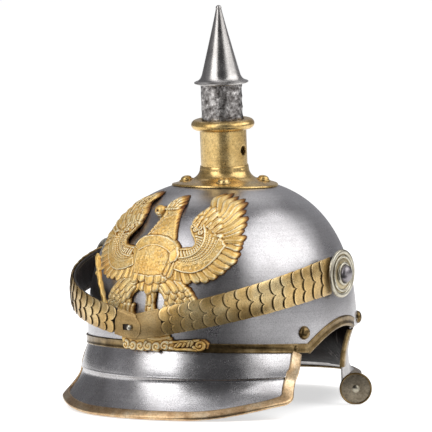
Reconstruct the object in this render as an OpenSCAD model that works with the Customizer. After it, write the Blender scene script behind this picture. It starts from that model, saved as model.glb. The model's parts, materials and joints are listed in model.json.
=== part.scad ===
// Cuirassier helmet with a spiked finial, an eagle plate and a scaled chin strap.
// Millimetres, +Z up. The helmet stands on its visor rim and on the two turned-out
// corners of its neck guard, so it leans forward a little. Everything is drawn in
// the helmet's own frame, with the spike on the Z axis and the front along -Y, and
// is then leaned forward about the X axis. +X is the wearer's left.

/* [Skull] */
// Length of the skull over its outside, front to back
skull_l = 239; // [228:1:252]
// Width of the skull over its outside
skull_w = 212.5; // [203:0.5:224]
// Height of the dome above the skull's widest level
dome_h = 129.5; // [120:0.5:140]
// Roundness of the dome: 2 is an ellipse and more is squarer
dome_round = 2.5; // [2.3:0.1:2.8]
// Height of the skull's widest level above the table, at the spike
wide_z = 54.5; // [51:0.5:58]
// How far the spike stands behind the middle of the skull
spike_back = 11.3; // [8:0.1:15]
// Thickness of the steel sheet
steel_t = 1.4; // [1.2:0.1:1.8]
// Forward lean of the helmet as it stands, in degrees
lean = 4; // [2:0.5:6]
// Radius of the vent hole in the crown, under the spike
vent_r = 15; // [12:0.5:16]

/* [Brass edging] */
// Thickness of the brass strip
brass_t = 0.9; // [0.7:0.1:1.2]
// Width of the brow band and of the strip along the ear arches
band_w = 7.5; // [6.5:0.5:8.5]
// Width of the folded strip along the visor and the neck guard
trim_w = 6.6; // [5:0.1:7.5]
// Play between a strip and the steel that it covers
strip_gap = 0.3; // [0.2:0.05:0.5]
// Height of the band's upper edge above the table, level with the spike
band_z = 54.9; // [53:0.1:57]
// Slope of the band, which is higher at the front, in degrees
band_slope = 6.7; // [5:0.1:8]
// Angle from the front at which the band turns up over the ear
ear_start = 73; // [70:1:76]
// Height of the top of the strip over the ear
ear_top_z = 75.7; // [74:0.1:79]

/* [Visor] */
// Height of the visor's ridge above the table
ridge_z = 32; // [28:1:36]
// How far the ridge stands out from the skull
ridge_out = 6.1; // [4.5:0.1:7.5]
// How far the rim stands out from the skull at the front
visor_out = 26.3; // [21:0.1:32]
// How far the rim stands out from the skull at the sides
visor_side = 22.6; // [19:0.1:26]
// Angle from the front to the visor's lower corner
visor_angle = 57.5; // [54:0.5:62]
// How high the visor's left lower corner lies above the table
corner_rise = 14; // [9:1:17]
// How much lower its right corner hangs, because the old sheet is a little bent
corner_bend = 6.6; // [0:0.2:8]

/* [Neck guard] */
// How far the guard's front edge lies behind the spike
guard_y = 26.3; // [21:0.1:32]
// Height of the skull's rear edge above the table, level with the spike
rear_z = 62; // [58:1:66]
// How far the guard tucks up inside the skull
guard_tuck = 11.3; // [9:0.1:15]
// How far the guard draws in at the sides
guard_waist = 9.9; // [8:0.1:13]
// How far the guard's rim stands out behind the skull
guard_out = 44; // [30:1:48]
// Height of the guard's rim above the table
guard_rim_z = 15; // [12:1:19]
// Diameter of the turned-out corner over its edging
lobe_d = 26.4; // [23:0.2:30]

/* [Spike] */
// Outside diameter of the neck tube
neck_d = 38; // [36:0.2:41]
// Wall of the neck tube
neck_wall = 1.5; // [1.2:0.1:2]
// Play between the spike's sleeve and the neck tube, on the radius
sleeve_gap = 0.5; // [0.3:0.1:0.8]
// Diameter of the round base plate
plate_d = 86.5; // [85:0.5:92]
// Height of the collar ring above the crown
neck_h = 45.1; // [42:0.1:49]
// Outside diameter of the collar ring
collar_d = 51.7; // [49:0.1:56]
// Thickness of the collar ring's round bead
bead_d = 8.5; // [7:0.5:10]
// Diameter of the vent holes in the neck
neck_vent_d = 8; // [6:0.5:9.5]
// Diameter of the flange at the foot of the spike
flange_d = 44.2; // [42:0.2:48]
// Height of the spike from its flange to its tip
spike_h = 64; // [56:1:72]
// How far the spike is drawn up from its seat
spike_raised = 29; // [0:1:34]
// Depth of the sleeve in the neck as it is shown
sleeve_in = 13; // [10:1:15]
// Thickness of the spike's sleeve
sleeve_t = 1.2; // [1:0.1:1.6]
// Diameter of the domed studs on the base plate
stud_d = 11.8; // [10:0.2:13]
// Distance of the studs from the spike's axis
stud_r = 31; // [30:0.5:34]

/* [Chin strap] */
// Height of the strap's pivots above the table
pivot_z = 111.9; // [108:0.1:116]
// How far the pivots lie in front of the spike
pivot_fwd = 7.5; // [4:0.1:11]
// Diameter of the rosettes
rosette_d = 39; // [36:0.5:43]
// Thickness of the rosette
rosette_t = 2.5; // [2:0.1:3.2]
// Diameter of the pivot bolt
bolt_d = 6; // [5:0.5:7]
// Play between the strap's eye and the pivot bolt, on the radius
pivot_gap = 0.3; // [0.2:0.05:0.5]
// How far the strap's inner face stands off the skull at the front
strap_stand = 13.3; // [11.9:0.1:18.9]
// How far the strap drops from its pivots to the front
strap_drop = 28.2; // [25:0.2:32]
// Width of the strap's scales at the rosette
scale_wide = 31; // [27:1:34]
// Width of the strap's scales at the front
scale_narrow = 20.7; // [17:0.1:24]
// Number of scales on each half
scale_n = 16; // [12:1:20]
// How much a scale is domed across its width
scale_crown = 1.5; // [0.5:0.1:2.2]
// Thickness of a scale
scale_t = 0.7; // [0.5:0.1:0.9]
// Thickness of the strap's leather
leather_t = 1.8; // [1.4:0.1:2.4]

/* [Eagle plate] */
// Thickness of the plate
eagle_t = 1.6; // [1.2:0.1:2.2]
// How far the plate stands off the steel
eagle_gap = 0.5; // [0.3:0.1:0.9]
// Height of the raised relief above the plate
relief_h = 1.8; // [1:0.1:2.4]
// How far the plate's middle lies to the wearer's left
eagle_x = 1.4; // [0:0.1:3]

/* [Lining] */
// Depth of the leather sweatband
sweat_h = 27; // [24:1:28]
// Thickness of the sweatband
sweat_t = 2; // [1.5:0.1:2.5]
// Space between the skull and the sweatband
sweat_gap = 11; // [8:0.5:12]
// Number of leather tongues
tongue_n = 10; // [8:1:12]

/* [Hidden] */
$fn = 64;

brass = [0.78, 0.60, 0.28];
gilt = [0.86, 0.68, 0.32];
steel = [0.66, 0.67, 0.69];
old_steel = [0.42, 0.42, 0.42];
nickel = [0.80, 0.78, 0.70];
leather = [0.24, 0.16, 0.11];

mid_y = -spike_back;
half_w = skull_w / 2;
half_l = skull_l / 2;
touch = 0.1;                    // play between pieces that never move
past = 20;                      // how far a cut reaches past what it cuts

// Height of the table under a place, in the helmet's own frame
function table_z(y) = -y * tan(lean);
function smooth(q) = let (c = min(1, max(0, q))) c * c * (3 - 2 * c);

// The dome is a family of nested surfaces, each a distance out from the skull
function dome_k(z, out) =
    z <= wide_z ? 1 : pow(max(0, 1 - pow((z - wide_z) / (dome_h + out), dome_round)), 1 / dome_round);
function dome_pt(a, z, out) = [
    (half_w + out) * dome_k(z, out) * sin(a),
    mid_y - (half_l + out) * dome_k(z, out) * cos(a), z];
// Angle from the front at which the dome passes a distance behind the spike
function dome_a(y, z, out) = acos(max(-1, min(1, (mid_y - y) / ((half_l + out) * dome_k(z, out)))));
// Half width of the dome level with a distance behind the spike
function dome_x(y, z, out) = (half_w + out) * dome_k(z, out) * sin(dome_a(y, z, out));

// A closed solid through a row of loops, each a strip's section: its outside, then
// its inside backwards, so that its ends close like a ladder
module swept(loops, ring = false) {
    n = len(loops);
    m = len(loops[0]);
    pts = [for (l = loops) each l];
    last = ring ? n - 1 : n - 2;
    skin = [for (i = [0:last]) for (k = [0:m - 1])
        let (a = i * m + k, b = i * m + (k + 1) % m,
             c = ((i + 1) % n) * m + (k + 1) % m, d = ((i + 1) % n) * m + k)
        each [[a, b, c], [a, c, d]]];
    half = m / 2;
    caps = ring ? [] : [for (k = [0:half - 2])
        let (a = k, b = k + 1, c = m - 2 - k, d = m - 1 - k, e = (n - 1) * m)
        each [[a, c, b], [a, d, c], [e + a, e + b, e + c], [e + a, e + c, e + d]]];
    oriented(pts, concat(skin, caps));
}
function six_volume(pts, faces) =
    [for (f = faces) cross(pts[f[0]], pts[f[1]]) * pts[f[2]]] * [for (f = faces) 1];
module oriented(pts, faces) {
    turned = six_volume(pts, faces) > 0;
    polyhedron(pts, [for (f = faces) turned ? [f[2], f[1], f[0]] : f], convexity = 8);
}
module leaned() { rotate([lean, 0, 0]) children(); }
// Cuts a standing edge flat where it meets the table
module above_table() {
    difference() {
        children();
        translate([-skull_l, -skull_l, -past]) cube([2 * skull_l, 2 * skull_l, past]);
    }
}
module both_sides() { children(); mirror([1, 0, 0]) children(); }

// Edges of the skull. The band's height falls towards the back; the ear arch is a
// parabola that starts where the band ends
function band_top(y) = band_z - y * tan(band_slope);
ear_y = dome_pt(ear_start, wide_z, 0).y;
function ear_z(y) = ear_top_z - (ear_top_z - band_top(ear_y)) * pow(y / ear_y, 2);
arch_end_a = dome_a(guard_y, wide_z, 0);
function skull_edge(a) =
    let (b = a > 180 ? 360 - a : a, y = dome_pt(b, wide_z, 0).y)
    b <= ear_start ? band_top(y) - band_w / 2
    : b <= arch_end_a ? ear_z(y) - band_w
    : rear_z - (y - guard_y) * tan(lean);

skull_cols = 60;
flank_rows = 3;
crown_rows = 13;
flank_z = ear_top_z + 4;
function crown_z(q, out) = flank_z + (wide_z + dome_h + out - flank_z) * sin(90 * q);
function skull_col(a, out) = concat(
    [for (j = [0:flank_rows - 1]) let (e = skull_edge(a))
        dome_pt(a, e + (flank_z - e) * j / flank_rows, out)],
    [for (j = [0:crown_rows - 1]) dome_pt(a, crown_z(j / crown_rows, out), out)]);

module dome_shell() {
    m = flank_rows + crown_rows;
    n = skull_cols;
    outs = [0, -steel_t];
    pts = concat([for (o = outs) for (i = [0:n - 1]) each skull_col(360 * i / n, o)],
                 [for (o = outs) [0, mid_y, wide_z + dome_h + o]]);
    faces = [for (i = [0:n - 1]) let (p = i * m, q = ((i + 1) % n) * m, in = n * m, top = 2 * n * m)
        each concat(
            [for (j = [0:m - 2]) each [[p + j, q + j + 1, q + j], [p + j, p + j + 1, q + j + 1],
                [in + p + j, in + q + j, in + q + j + 1], [in + p + j, in + q + j + 1, in + p + j + 1]]],
            [[p + m - 1, top, q + m - 1], [in + p + m - 1, in + q + m - 1, top + 1],
             [p, q, in + q], [p, in + q, in + p]])];
    oriented(pts, faces);
}
module skull() {
    color(steel) leaned() difference() {
        dome_shell();
        translate([0, 0, wide_z + dome_h / 2]) cylinder(h = dome_h, r = vent_r);
        both_sides() translate([half_w / 2, -pivot_fwd, pivot_z]) rotate([0, 90, 0])
            cylinder(h = half_w, r = lug_r + touch);
        at_studs() cylinder(h = 2 * past, d = stud_shank_d + 2 * touch, center = true);
        at_posts() cylinder(h = 2 * past, d = post_d + 2 * touch, center = true);
    }
}

// The visor: a short tuck behind the brow band, a rounded upper part down to the
// ridge, and a hollow flare down to the rim
tuck_s = 0.12;
ridge_s = 0.45;
visor_lift = brass_t + strip_gap + 0.75 * steel_t;
function visor_a(u, s) = u * (ear_start - 3.5 + (visor_angle - ear_start + 3.5) * s);
function visor_reach(a) = visor_out + (visor_side - visor_out) * pow(sin(a), 2) - visor_lift;
function rise(a) = (corner_rise - (a < 0 ? corner_bend : 0)) * smooth((abs(a) - 20) / 50);
function visor_off(a, s) =
    s <= tuck_s ? 0
    : s <= ridge_s ? ridge_out * sin(90 * (s - tuck_s) / (ridge_s - tuck_s))
    : ridge_out + (visor_reach(a) - ridge_out) * pow((s - ridge_s) / (1 - ridge_s), 1.7);
function visor_z(a, y, s) =
    let (band_mid = band_top(dome_pt(a, wide_z, 0).y) - band_w / 2 - touch,
         low = band_mid - band_w / 2,
         ridge = ridge_z + table_z(y),
         rim = visor_lift + rise(a) + table_z(y))
    s <= tuck_s ? band_mid + (low - band_mid) * s / tuck_s
    : s <= ridge_s ? low + (ridge - low) * (s - tuck_s) / (ridge_s - tuck_s)
    : ridge + (rim - ridge) * (s - ridge_s) / (1 - ridge_s);
function visor_at(u, s) =
    let (a = visor_a(u, s), off = visor_off(a, s),
         x = (half_w + off) * sin(a), y = mid_y - (half_l + off) * cos(a))
    [x, y, visor_z(a, y, s)];
function unit(v) = v / norm(v);
step = 0.004;
function visor_normal(u, s) =
    let (du = visor_at(u + step, s) - visor_at(u - step, s),
         ds = visor_at(u, s + step) - visor_at(u, s - step))
    unit(cross(ds, du));
function visor_pt(u, s, out) = visor_at(u, s) + out * visor_normal(u, s);
visor_cols = 28;
visor_rows = [0, tuck_s, 0.19, 0.26, 0.35, 0.45, 0.53, 0.63, 0.74, 0.86, 1];
module visor_sheet() {
    swept([for (i = [0:visor_cols]) let (u = 2 * i / visor_cols - 1) concat(
        [for (s = visor_rows) visor_pt(u, s, 0)],
        [for (k = [len(visor_rows) - 1:-1:0]) visor_pt(u, visor_rows[k], -steel_t)])]);
}
module front_visor() { color(steel) leaned() visor_sheet(); }

// A strip folded round an edge. Each place is [distance in from the edge, distance
// out from the steel's outer face]; the edge itself is where the first is 0
fold_in = 4;
function fold(w) = let (o = strip_gap + brass_t, i = -steel_t - strip_gap - brass_t) [
    [w, o], [w / 2, o], [-o, o], [-o, i], [fold_in, i],
    [fold_in, i + brass_t], [-strip_gap, i + brass_t], [-strip_gap, strip_gap], [w / 2, strip_gap],
    [w, strip_gap]];

// The visor's edge runs down its left side, along the rim and up the right side
side_rows = [tuck_s + 0.06, 0.3, ridge_s, 0.6, 0.75, 0.9];
function visor_edge() = concat(
    [for (s = side_rows) [-1, s, 1, 0]], [[-1, 1, 1, 1]],
    [for (i = [1:visor_cols - 1]) [2 * i / visor_cols - 1, 1, 0, 1]],
    [[1, 1, -1, 1]], [for (k = [len(side_rows) - 1:-1:0]) [1, side_rows[k], -1, 0]]);
function visor_fold(e, p) =
    let (lu = norm(visor_at(e[0] + step, e[1]) - visor_at(e[0] - step, e[1])) / (2 * step),
         ls = norm(visor_at(e[0], e[1] + step) - visor_at(e[0], e[1] - step)) / (2 * step))
    visor_pt(e[0] + p[0] * e[2] / lu, e[1] - p[0] * e[3] / ls, p[1]);
module visor_trim() {
    color(brass) above_table() leaned() difference() {
        swept([for (e = visor_edge()) [for (p = fold(trim_w)) visor_fold(e, p)]]);
        visor_sheet();
    }
}

// The brow band lies on the skull and covers the joint with the visor
band_out = strip_gap + brass_t;
module brow_band() {
    cols = 28;
    color(brass) leaned() swept([for (i = [0:cols])
        let (a = (ear_start - 0.4) * (2 * i / cols - 1), y = dome_pt(a, wide_z, 0).y, t = band_top(y))
        [dome_pt(a, t, band_out), dome_pt(a, t - band_w, band_out),
         dome_pt(a, t - band_w, strip_gap), dome_pt(a, t, strip_gap)]]);
}
module ear_trim() {
    cols = 16;
    function at(y, p) = let (z = ear_z(y) - band_w + p[0]) dome_pt(dome_a(y, wide_z, 0), z, p[1]);
    color(brass) leaned() swept([for (i = [0:cols])
        let (y = ear_y + (guard_y - ear_y) * i / cols) [for (p = fold(band_w)) at(y, p)]]);
}
module ear_trim_left() { ear_trim(); }
module ear_trim_right() { mirror([1, 0, 0]) ear_trim(); }

// The neck guard starts inside the skull, draws in and then flares to its rim
tuck_gap = 0.3;                 // extra play inside the skull
guard_top_out = -steel_t - strip_gap - tuck_gap;
tuck_q = 0.2;
function guard_side(q) = half_w + guard_top_out - guard_waist * sin(90 * min(1, q / 0.8));
function guard_rear(q) = half_l + guard_top_out - 3 * sin(180 * min(1, q / 0.6));
function guard_flare(a, q) = (guard_out + steel_t) * pow(q, 3.4) * pow(abs(min(0, cos(a))), 5);
function guard_at(f, s) =
    let (q = (s - tuck_q) / (1 - tuck_q), r = max(0, q),
         from = acos((mid_y - guard_y) / guard_rear(r)),
         a = from + (360 - 2 * from) * f, flare = guard_flare(a, r),
         x = (guard_side(r) + flare) * sin(a), y = mid_y - (guard_rear(r) + flare) * cos(a),
         top = rear_z - (y - guard_y) * tan(lean),
         rim = guard_rim_z + brass_t + strip_gap + table_z(y))
    [x, y, q <= 0 ? top + guard_tuck * (1 - s / tuck_q) : top + (rim - top) * q];
function guard_normal(f, s) =
    let (df = guard_at(f + step, s) - guard_at(f - step, s),
         ds = guard_at(f, s + step) - guard_at(f, s - step))
    unit(cross(ds, df));
function guard_pt(f, s, out) = guard_at(f, s) + out * guard_normal(f, s);
guard_cols = 32;
guard_rows = [0, tuck_q, 0.34, 0.46, 0.58, 0.69, 0.79, 0.88, 0.95, 1];

// The lower front corners are turned out into round lobes that face forward
view_turn = 31;                 // turn of a lobe's face towards the wearer's side
lobe_r = lobe_d / 2 - brass_t;
lobe_flat = 0.4;                // depth of the flat on which a lobe stands
lobe_edge = guard_at(0, 0.97);
module at_lobe() {
    translate([lobe_edge.x, guard_y, table_z(guard_y) + lobe_d / 2 - lobe_flat]) rotate([-lean, 0, 0])
        rotate([0, 0, view_turn]) translate([lobe_r - 2, 0, 0]) rotate([90, 0, 0]) children();
}
module guard_sheet() {
    swept([for (i = [0:guard_cols]) let (f = i / guard_cols) concat(
        [for (s = guard_rows) guard_pt(f, s, 0)],
        [for (k = [len(guard_rows) - 1:-1:0]) guard_pt(f, guard_rows[k], -steel_t)])]);
}
module neck_guard() {
    color(steel) leaned() union() {
        guard_sheet();
        both_sides() at_lobe() cylinder(h = steel_t, r = lobe_r, center = true);
    }
}
guard_side_rows = [0.23, 0.36, 0.46, 0.56, 0.66, 0.76];
rim_from = 0.1;
function guard_fold(f, s, sides, p) =
    let (lf = norm(guard_at(f + step, s) - guard_at(f - step, s)) / (2 * step),
         ls = norm(guard_at(f, s + step) - guard_at(f, s - step)) / (2 * step))
    guard_pt(f + p[0] * sides[0] / lf, s - p[0] * sides[1] / ls, p[1]);
module neck_guard_trim() {
    rim_cols = 26;
    color(brass) above_table() leaned() {
        swept([for (i = [0:rim_cols]) let (f = rim_from + (1 - 2 * rim_from) * i / rim_cols)
            [for (p = fold(trim_w)) guard_fold(f, 1, [0, 1], p)]]);
        both_sides() swept([for (s = guard_side_rows) [for (p = fold(trim_w)) guard_fold(0, s, [1, 0], p)]]);
        difference() {
            both_sides() at_lobe() rotate_extrude() translate([lobe_r + touch, -steel_t / 2 - brass_t])
                square([brass_t, steel_t + 2 * brass_t]);
            guard_sheet();
        }
    }
}

// Rivets: a domed head, with a shank where there is room behind it
module domed(d, h) {
    r = (d * d / 4 + h * h) / (2 * h);
    rotate_extrude() intersection() {
        translate([0, h - r]) circle(r = r, $fn = 96);
        square([d / 2, h]);
    }
}
// Puts a piece on the skull, facing out and away from the middle
module on_side(y, z, out) {
    a = dome_a(y, z, 0);
    p = dome_pt(a, z, out);
    q = dome_pt(a, z, 0) - dome_pt(a, z + 1, 0);
    translate(p) rotate([0, 0, atan2(-half_w * cos(a), half_l * sin(a))])
        rotate([0, 90 - atan(norm([q.x, q.y])), 0]) children();
}
side_rivet_d = 11.4;
side_rivet_h = 3.8;
visor_rivet_y = -50.8;
visor_rivet_z = 69.6;
guard_rivet_y = 51.7;
guard_rivet_z = 66.3;
module side_rivet(y, z) { both_sides() on_side(y, z, touch) domed(side_rivet_d, side_rivet_h); }
module visor_rivets() { color(brass) leaned() side_rivet(visor_rivet_y, visor_rivet_z); }
module neck_guard_rivets() { color(brass) leaned() side_rivet(guard_rivet_y, guard_rivet_z); }
small_rivet_d = 3.6;
small_rivet_h = 1;
small_rivet_a = 7;              // angle from the band's end to its rivet
lobe_rivet_d = 6.6;
lobe_rivet_h = 1.9;
module band_rivets() {
    y = dome_pt(ear_start - small_rivet_a, wide_z, 0).y;
    color(brass) leaned() both_sides() on_side(y, band_top(y) - band_w / 2, band_out + touch)
        domed(small_rivet_d, small_rivet_h);
}
module lobe_rivets() {
    color(brass) leaned() both_sides() at_lobe() both_faces() domed(lobe_rivet_d, lobe_rivet_h);
}
module both_faces() {
    translate([0, 0, steel_t / 2 + touch]) children();
    mirror([0, 0, 1]) translate([0, 0, steel_t / 2 + touch]) children();
}

// The spike's base: a round plate that follows the crown, a fillet and a neck tube
neck_r = neck_d / 2;
function dome_z(x, y, out) =
    let (r = norm([x / (half_w + out), (y - mid_y) / (half_l + out)]))
    wide_z + (dome_h + out) * pow(1 - pow(r, dome_round), 1 / dome_round);
plate_t = 1.2;
plate_out = 0.4;                // the plate's play over the crown
crown_top = dome_z(0, 0, 0);
collar_z = crown_top + neck_h;
fillet_r = 8.5;
ledge = 0.2;                    // small step where the fillet meets the tube
function fillet_h(r) =
    let (q = min(1, max(0, (r - neck_r - ledge) / fillet_r))) fillet_r * (1 - sqrt(1 - pow(1 - q, 2)));
function plate_col(a) =
    let (rs = concat([neck_r - neck_wall / 2], [for (k = [0:4]) neck_r + ledge + fillet_r * k * k / 16],
                     [(neck_r + fillet_r + plate_d / 2) / 2, plate_d / 2]))
    concat([for (r = rs) plate_pt(a, r, plate_out + plate_t + fillet_h(r))],
           [for (k = [len(rs) - 1:-1:0]) plate_pt(a, rs[k], plate_out)]);
function plate_pt(a, r, up) = [r * sin(a), -r * cos(a), dome_z(r * sin(a), -r * cos(a), 0) + up];
plate_cols = 48;
vent_up = 24;                   // height of the neck's vent holes above the crown
stud_turn = -61;
stud_shank_d = 4;
module spike_base() {
    inside = neck_r - neck_wall;
    foot = crown_top + plate_out + plate_t;
    color(brass) leaned() difference() {
        union() {
            swept([for (i = [0:plate_cols - 1]) plate_col(360 * i / plate_cols)], ring = true);
            translate([0, 0, foot]) cylinder(h = collar_z - bead_d / 2 - touch - foot, r = neck_r);
        }
        translate([0, 0, crown_top - past]) cylinder(h = collar_z, r = inside);
        translate([0, 0, crown_top + vent_up]) rotate([0, 90, 0])
            cylinder(h = plate_d, d = neck_vent_d, center = true);
        at_studs() cylinder(h = 2 * past, d = stud_shank_d + 4 * touch, center = true);
    }
}
module collar_ring() {
    inside = neck_r - neck_wall;
    color(brass) leaned() rotate_extrude() difference() {
        union() {
            translate([inside, collar_z - bead_d / 2]) square([neck_r - inside + 2.5, bead_d]);
            translate([collar_d / 2 - bead_d / 2, collar_z]) circle(d = bead_d);
            translate([neck_r + 1, collar_z - bead_d / 2 + 2])
                square([collar_d / 2 - bead_d / 2 - neck_r, bead_d - 4]);
        }
        square([inside, collar_z * 2]);
    }
}
// Studs stand on the base plate, and their shanks pass through the crown
module at_studs() {
    for (k = [0:3]) let (a = stud_turn + 90 * k, x = stud_r * cos(a), y = stud_r * sin(a))
        translate([x, y, dome_z(x, y, 0)]) rotate([0, 0, downhill(x, y)])
            rotate([0, crown_slope(x, y), 0]) children();
}
function downhill(x, y) = atan2((y - mid_y) / pow(half_l, 2), x / pow(half_w, 2));
function crown_slope(x, y) =
    let (a = downhill(x, y), d = 0.5, c = d * cos(a), e = d * sin(a))
    atan((dome_z(x - c, y - e, 0) - dome_z(x + c, y + e, 0)) / (2 * d));
seat_gap = 0.45;                // play of flat nuts against the curved skull
stud_h = 3.4;
nut_t = 2.6;
base_nut_d = 9;
shank_end = 1.5;                // how far a shank reaches past its nut
module base_studs() {
    color(brass) leaned() at_studs() {
        translate([0, 0, plate_out + plate_t + seat_gap]) domed(stud_d, stud_h);
        translate([0, 0, -steel_t - nut_t - shank_end])
            cylinder(h = steel_t + nut_t + shank_end + touch + plate_out + plate_t + seat_gap,
                d = stud_shank_d);
    }
}
module base_nuts() {
    color(brass) leaned() at_studs() translate([0, 0, -steel_t - seat_gap - nut_t]) difference() {
        cylinder(h = nut_t, d = base_nut_d, $fn = 6);
        cylinder(h = 3 * nut_t, d = stud_shank_d + touch, center = true);
    }
}

// The spike: a steel cone on a thin flange, over a rolled sleeve that slides in the
// neck and is open along one side
sleeve_r = neck_r - neck_wall - sleeve_gap;
collar_top = collar_z + bead_d / 2;
flange_z = collar_top + spike_raised + touch;
sleeve_low = collar_top - sleeve_in - bead_d / 2;
flange_t = 1.6;
foot_r = 15;
tip_r = 2.4;
tip_solid = 16;                 // solid length of the tip, above the hollow of the cone
module spike_cone() {
    r = flange_d / 2;
    tip = flange_z + spike_h;
    rise_h = 7.5;
    color(steel) leaned() rotate_extrude() polygon(concat(
        [[0, tip - tip_solid], [foot_r - steel_t, flange_z], [r, flange_z], [r, flange_z + flange_t * 0.6]],
        [for (a = [0:15:90])
            [r - 1 - (r - 1 - foot_r) * sin(a), flange_z + flange_t + (rise_h - flange_t) * (1 - cos(a))]],
        [for (a = [10:20:90]) [tip_r * cos(a), tip - tip_r + tip_r * sin(a)]]));
}
slit_a = 25;                    // the open side of the sleeve, from the wearer's left to the back
slit_w = 6;
spring_w = 4;
module spike_sleeve() {
    h = flange_z - touch - sleeve_low;
    color(old_steel) leaned() translate([0, 0, sleeve_low]) difference() {
        cylinder(h = h, r = sleeve_r);
        translate([0, 0, -1]) cylinder(h = h + 2, r = sleeve_r - sleeve_t);
        rotate([0, 0, slit_a]) translate([0, -slit_w / 2, -1]) cube([sleeve_r * 2, slit_w, h + 2]);
    }
}
module spike_spring() {
    h = flange_z - touch - sleeve_low - 2;
    color(old_steel) leaned() translate([0, 0, sleeve_low + 2]) rotate([0, 0, slit_a])
        translate([sleeve_r - sleeve_t - 1.2, -spring_w / 2, 0]) cube([1, spring_w, h]);
}

// The eagle plate: a flat outline pressed onto the dome, with a raised layer
module on_dome(near, far) {
    cols = 26;
    rows = 14;
    low = wide_z + 4;
    high = wide_z + dome_h - 0.5;
    function row_z(j) = low + (high - low) * sin(90 * j / rows);
    // The foot of the plate stands off further, because it lies over the brow band
    function foot_out(z) = (band_out + touch) * smooth((band_top(-half_l) + 9 - z) / 6);
    intersection() {
        rotate([90, 0, 0]) linear_extrude(height = skull_l) children();
        swept([for (i = [0:cols]) let (a = 80 * (2 * i / cols - 1)) concat(
            [for (j = [0:rows]) dome_pt(a, row_z(j), far + foot_out(row_z(j)))],
            [for (j = [rows:-1:0]) dome_pt(a, row_z(j), near + foot_out(row_z(j)))])]);
    }
}
// The drawing's foot lies on the brow band and its head just below the base plate
drawn_foot = 60;
drawn_head = 180.5;
foot_drop = 8.9;                // depth of the foot below the band's upper edge
head_gap = 1.6;                 // drop of the head's top below the base plate's edge
eagle_foot = band_top(-half_l) - foot_drop;
eagle_head = dome_z(0, -plate_d / 2, 0) - head_gap;
eagle_k = (eagle_head - eagle_foot) / (drawn_head - drawn_foot);
function eagle_up(z) = eagle_foot + (z - drawn_foot) * eagle_k;
module drawn() { translate([0, eagle_foot]) scale([1, eagle_k]) translate([0, -drawn_foot]) children(); }
// Half outlines, drawn from the front: [out from the plate's middle, height]
wing = [[0, 143], [19, 145.5], [27.5, 145.5], [32, 148.5], [26.5, 158], [23.5, 165.5], [29, 173], [23.5, 181],
    [31, 180], [40.5, 176], [48, 170], [54.5, 161.5], [61, 151.5], [64, 143], [65, 134.5], [60, 128],
    [52.5, 122], [45, 117.5], [35, 113.5], [15, 112], [0, 110]];
thigh = [[0, 128], [19, 118.5], [39.5, 116.5], [42.5, 105.5], [41.5, 94], [34, 87.5], [24.5, 83.5],
    [19, 88.5], [18, 98], [9.5, 103.5], [6.5, 98], [7.5, 86.5], [13, 82.5], [20.5, 77], [21.5, 66],
    [15, 61], [7.5, 60], [0, 62]];
head = [[-17, 139], [-8.5, 156], [-4.5, 163.5], [-11.5, 166], [-15, 168.5], [-14, 171.5],
    [-8.5, 173.5], [-5.5, 175], [-8.5, 179], [-2, 180.5], [6.5, 179.5], [12, 176], [12, 172],
    [11.5, 165.5], [13, 156], [19, 139]];
module mirrored_outline(points) {
    polygon(points);
    mirror([1, 0]) polygon(points);
}
module eagle_outline() {
    translate([eagle_x, 0]) {
        mirrored_outline(wing);
        mirrored_outline(thigh);
        translate([-eagle_x, 0]) polygon(head);
        translate([40.5, 67.5]) circle(r = 5.6);
        translate([30, 66.5]) square([11.5, 7.5]);
    }
}
ribbon_w = 8.5;
ribbon_r = 18;
wing_ribbon = [[17, 129.5], [35.5, 125], [51, 130.5], [58.5, 141], [52.5, 145], [45, 135.5],
    [34, 132.5], [19, 137]];
thigh_relief = [[15, 114.5], [35.5, 112], [38.5, 99.5], [34, 92], [22.5, 94], [13, 105.5]];
module ribbon_arc() {
    translate([0, 128]) difference() {
        circle(r = ribbon_r + ribbon_w / 2);
        circle(r = ribbon_r - ribbon_w / 2);
        translate([-40, -60]) square([80, 60]);
    }
}
module eagle_relief() {
    translate([eagle_x, 0]) {
        ribbon_arc();
        translate([0, 126]) circle(r = 13);
        translate([-9.5, 101.5]) square([19, 22.5]);
        mirrored_outline(wing_ribbon);
        mirrored_outline(thigh_relief);
    }
    translate([0, 169]) circle(r = 6.6);
}
module eagle_plate() {
    color(gilt) leaned() {
        on_dome(eagle_gap, eagle_gap + eagle_t) drawn() eagle_outline();
        on_dome(eagle_gap + eagle_t - touch, eagle_gap + eagle_t + relief_h)
            drawn() intersection() { eagle_relief(); eagle_outline(); }
    }
}
// The rod in the eagle's claw is a separate straight casting
rod_foot = [-39.5, 89.5];
rod_head = [-57.5, 134.5];
rod_d = 4;
rod_off = 0.6;                  // play between the rod's foot and the plate
rod_lift = 5;                   // how far the rod's head stands off the plate
cross_len = 12;
cross_share = 0.72;             // place of the cross-piece along the rod
module eagle_rod() {
    foot = front_pt([rod_foot[0], eagle_up(rod_foot[1])], eagle_gap + eagle_t + rod_d / 2 + rod_off);
    top = front_pt([rod_head[0], eagle_up(rod_head[1])], eagle_gap + eagle_t + rod_d / 2 + rod_lift);
    d = top - foot;
    color(gilt) leaned() translate(foot) rotate([0, acos(d.z / norm(d)), atan2(d.y, d.x)]) {
        cylinder(h = norm(d), d = rod_d);
        translate([0, 0, norm(d) * cross_share]) rotate([0, 90, 0])
            cylinder(h = cross_len, d = rod_d * 0.8, center = true);
    }
}
// The point of an offset dome that lies behind a place seen from the front
function front_pt(p, out) =
    let (k = dome_k(p[1], out)) [p[0],
        mid_y - (half_l + out) * sqrt(max(0, k * k - pow(p[0] / (half_w + out), 2))), p[1]];
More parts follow.
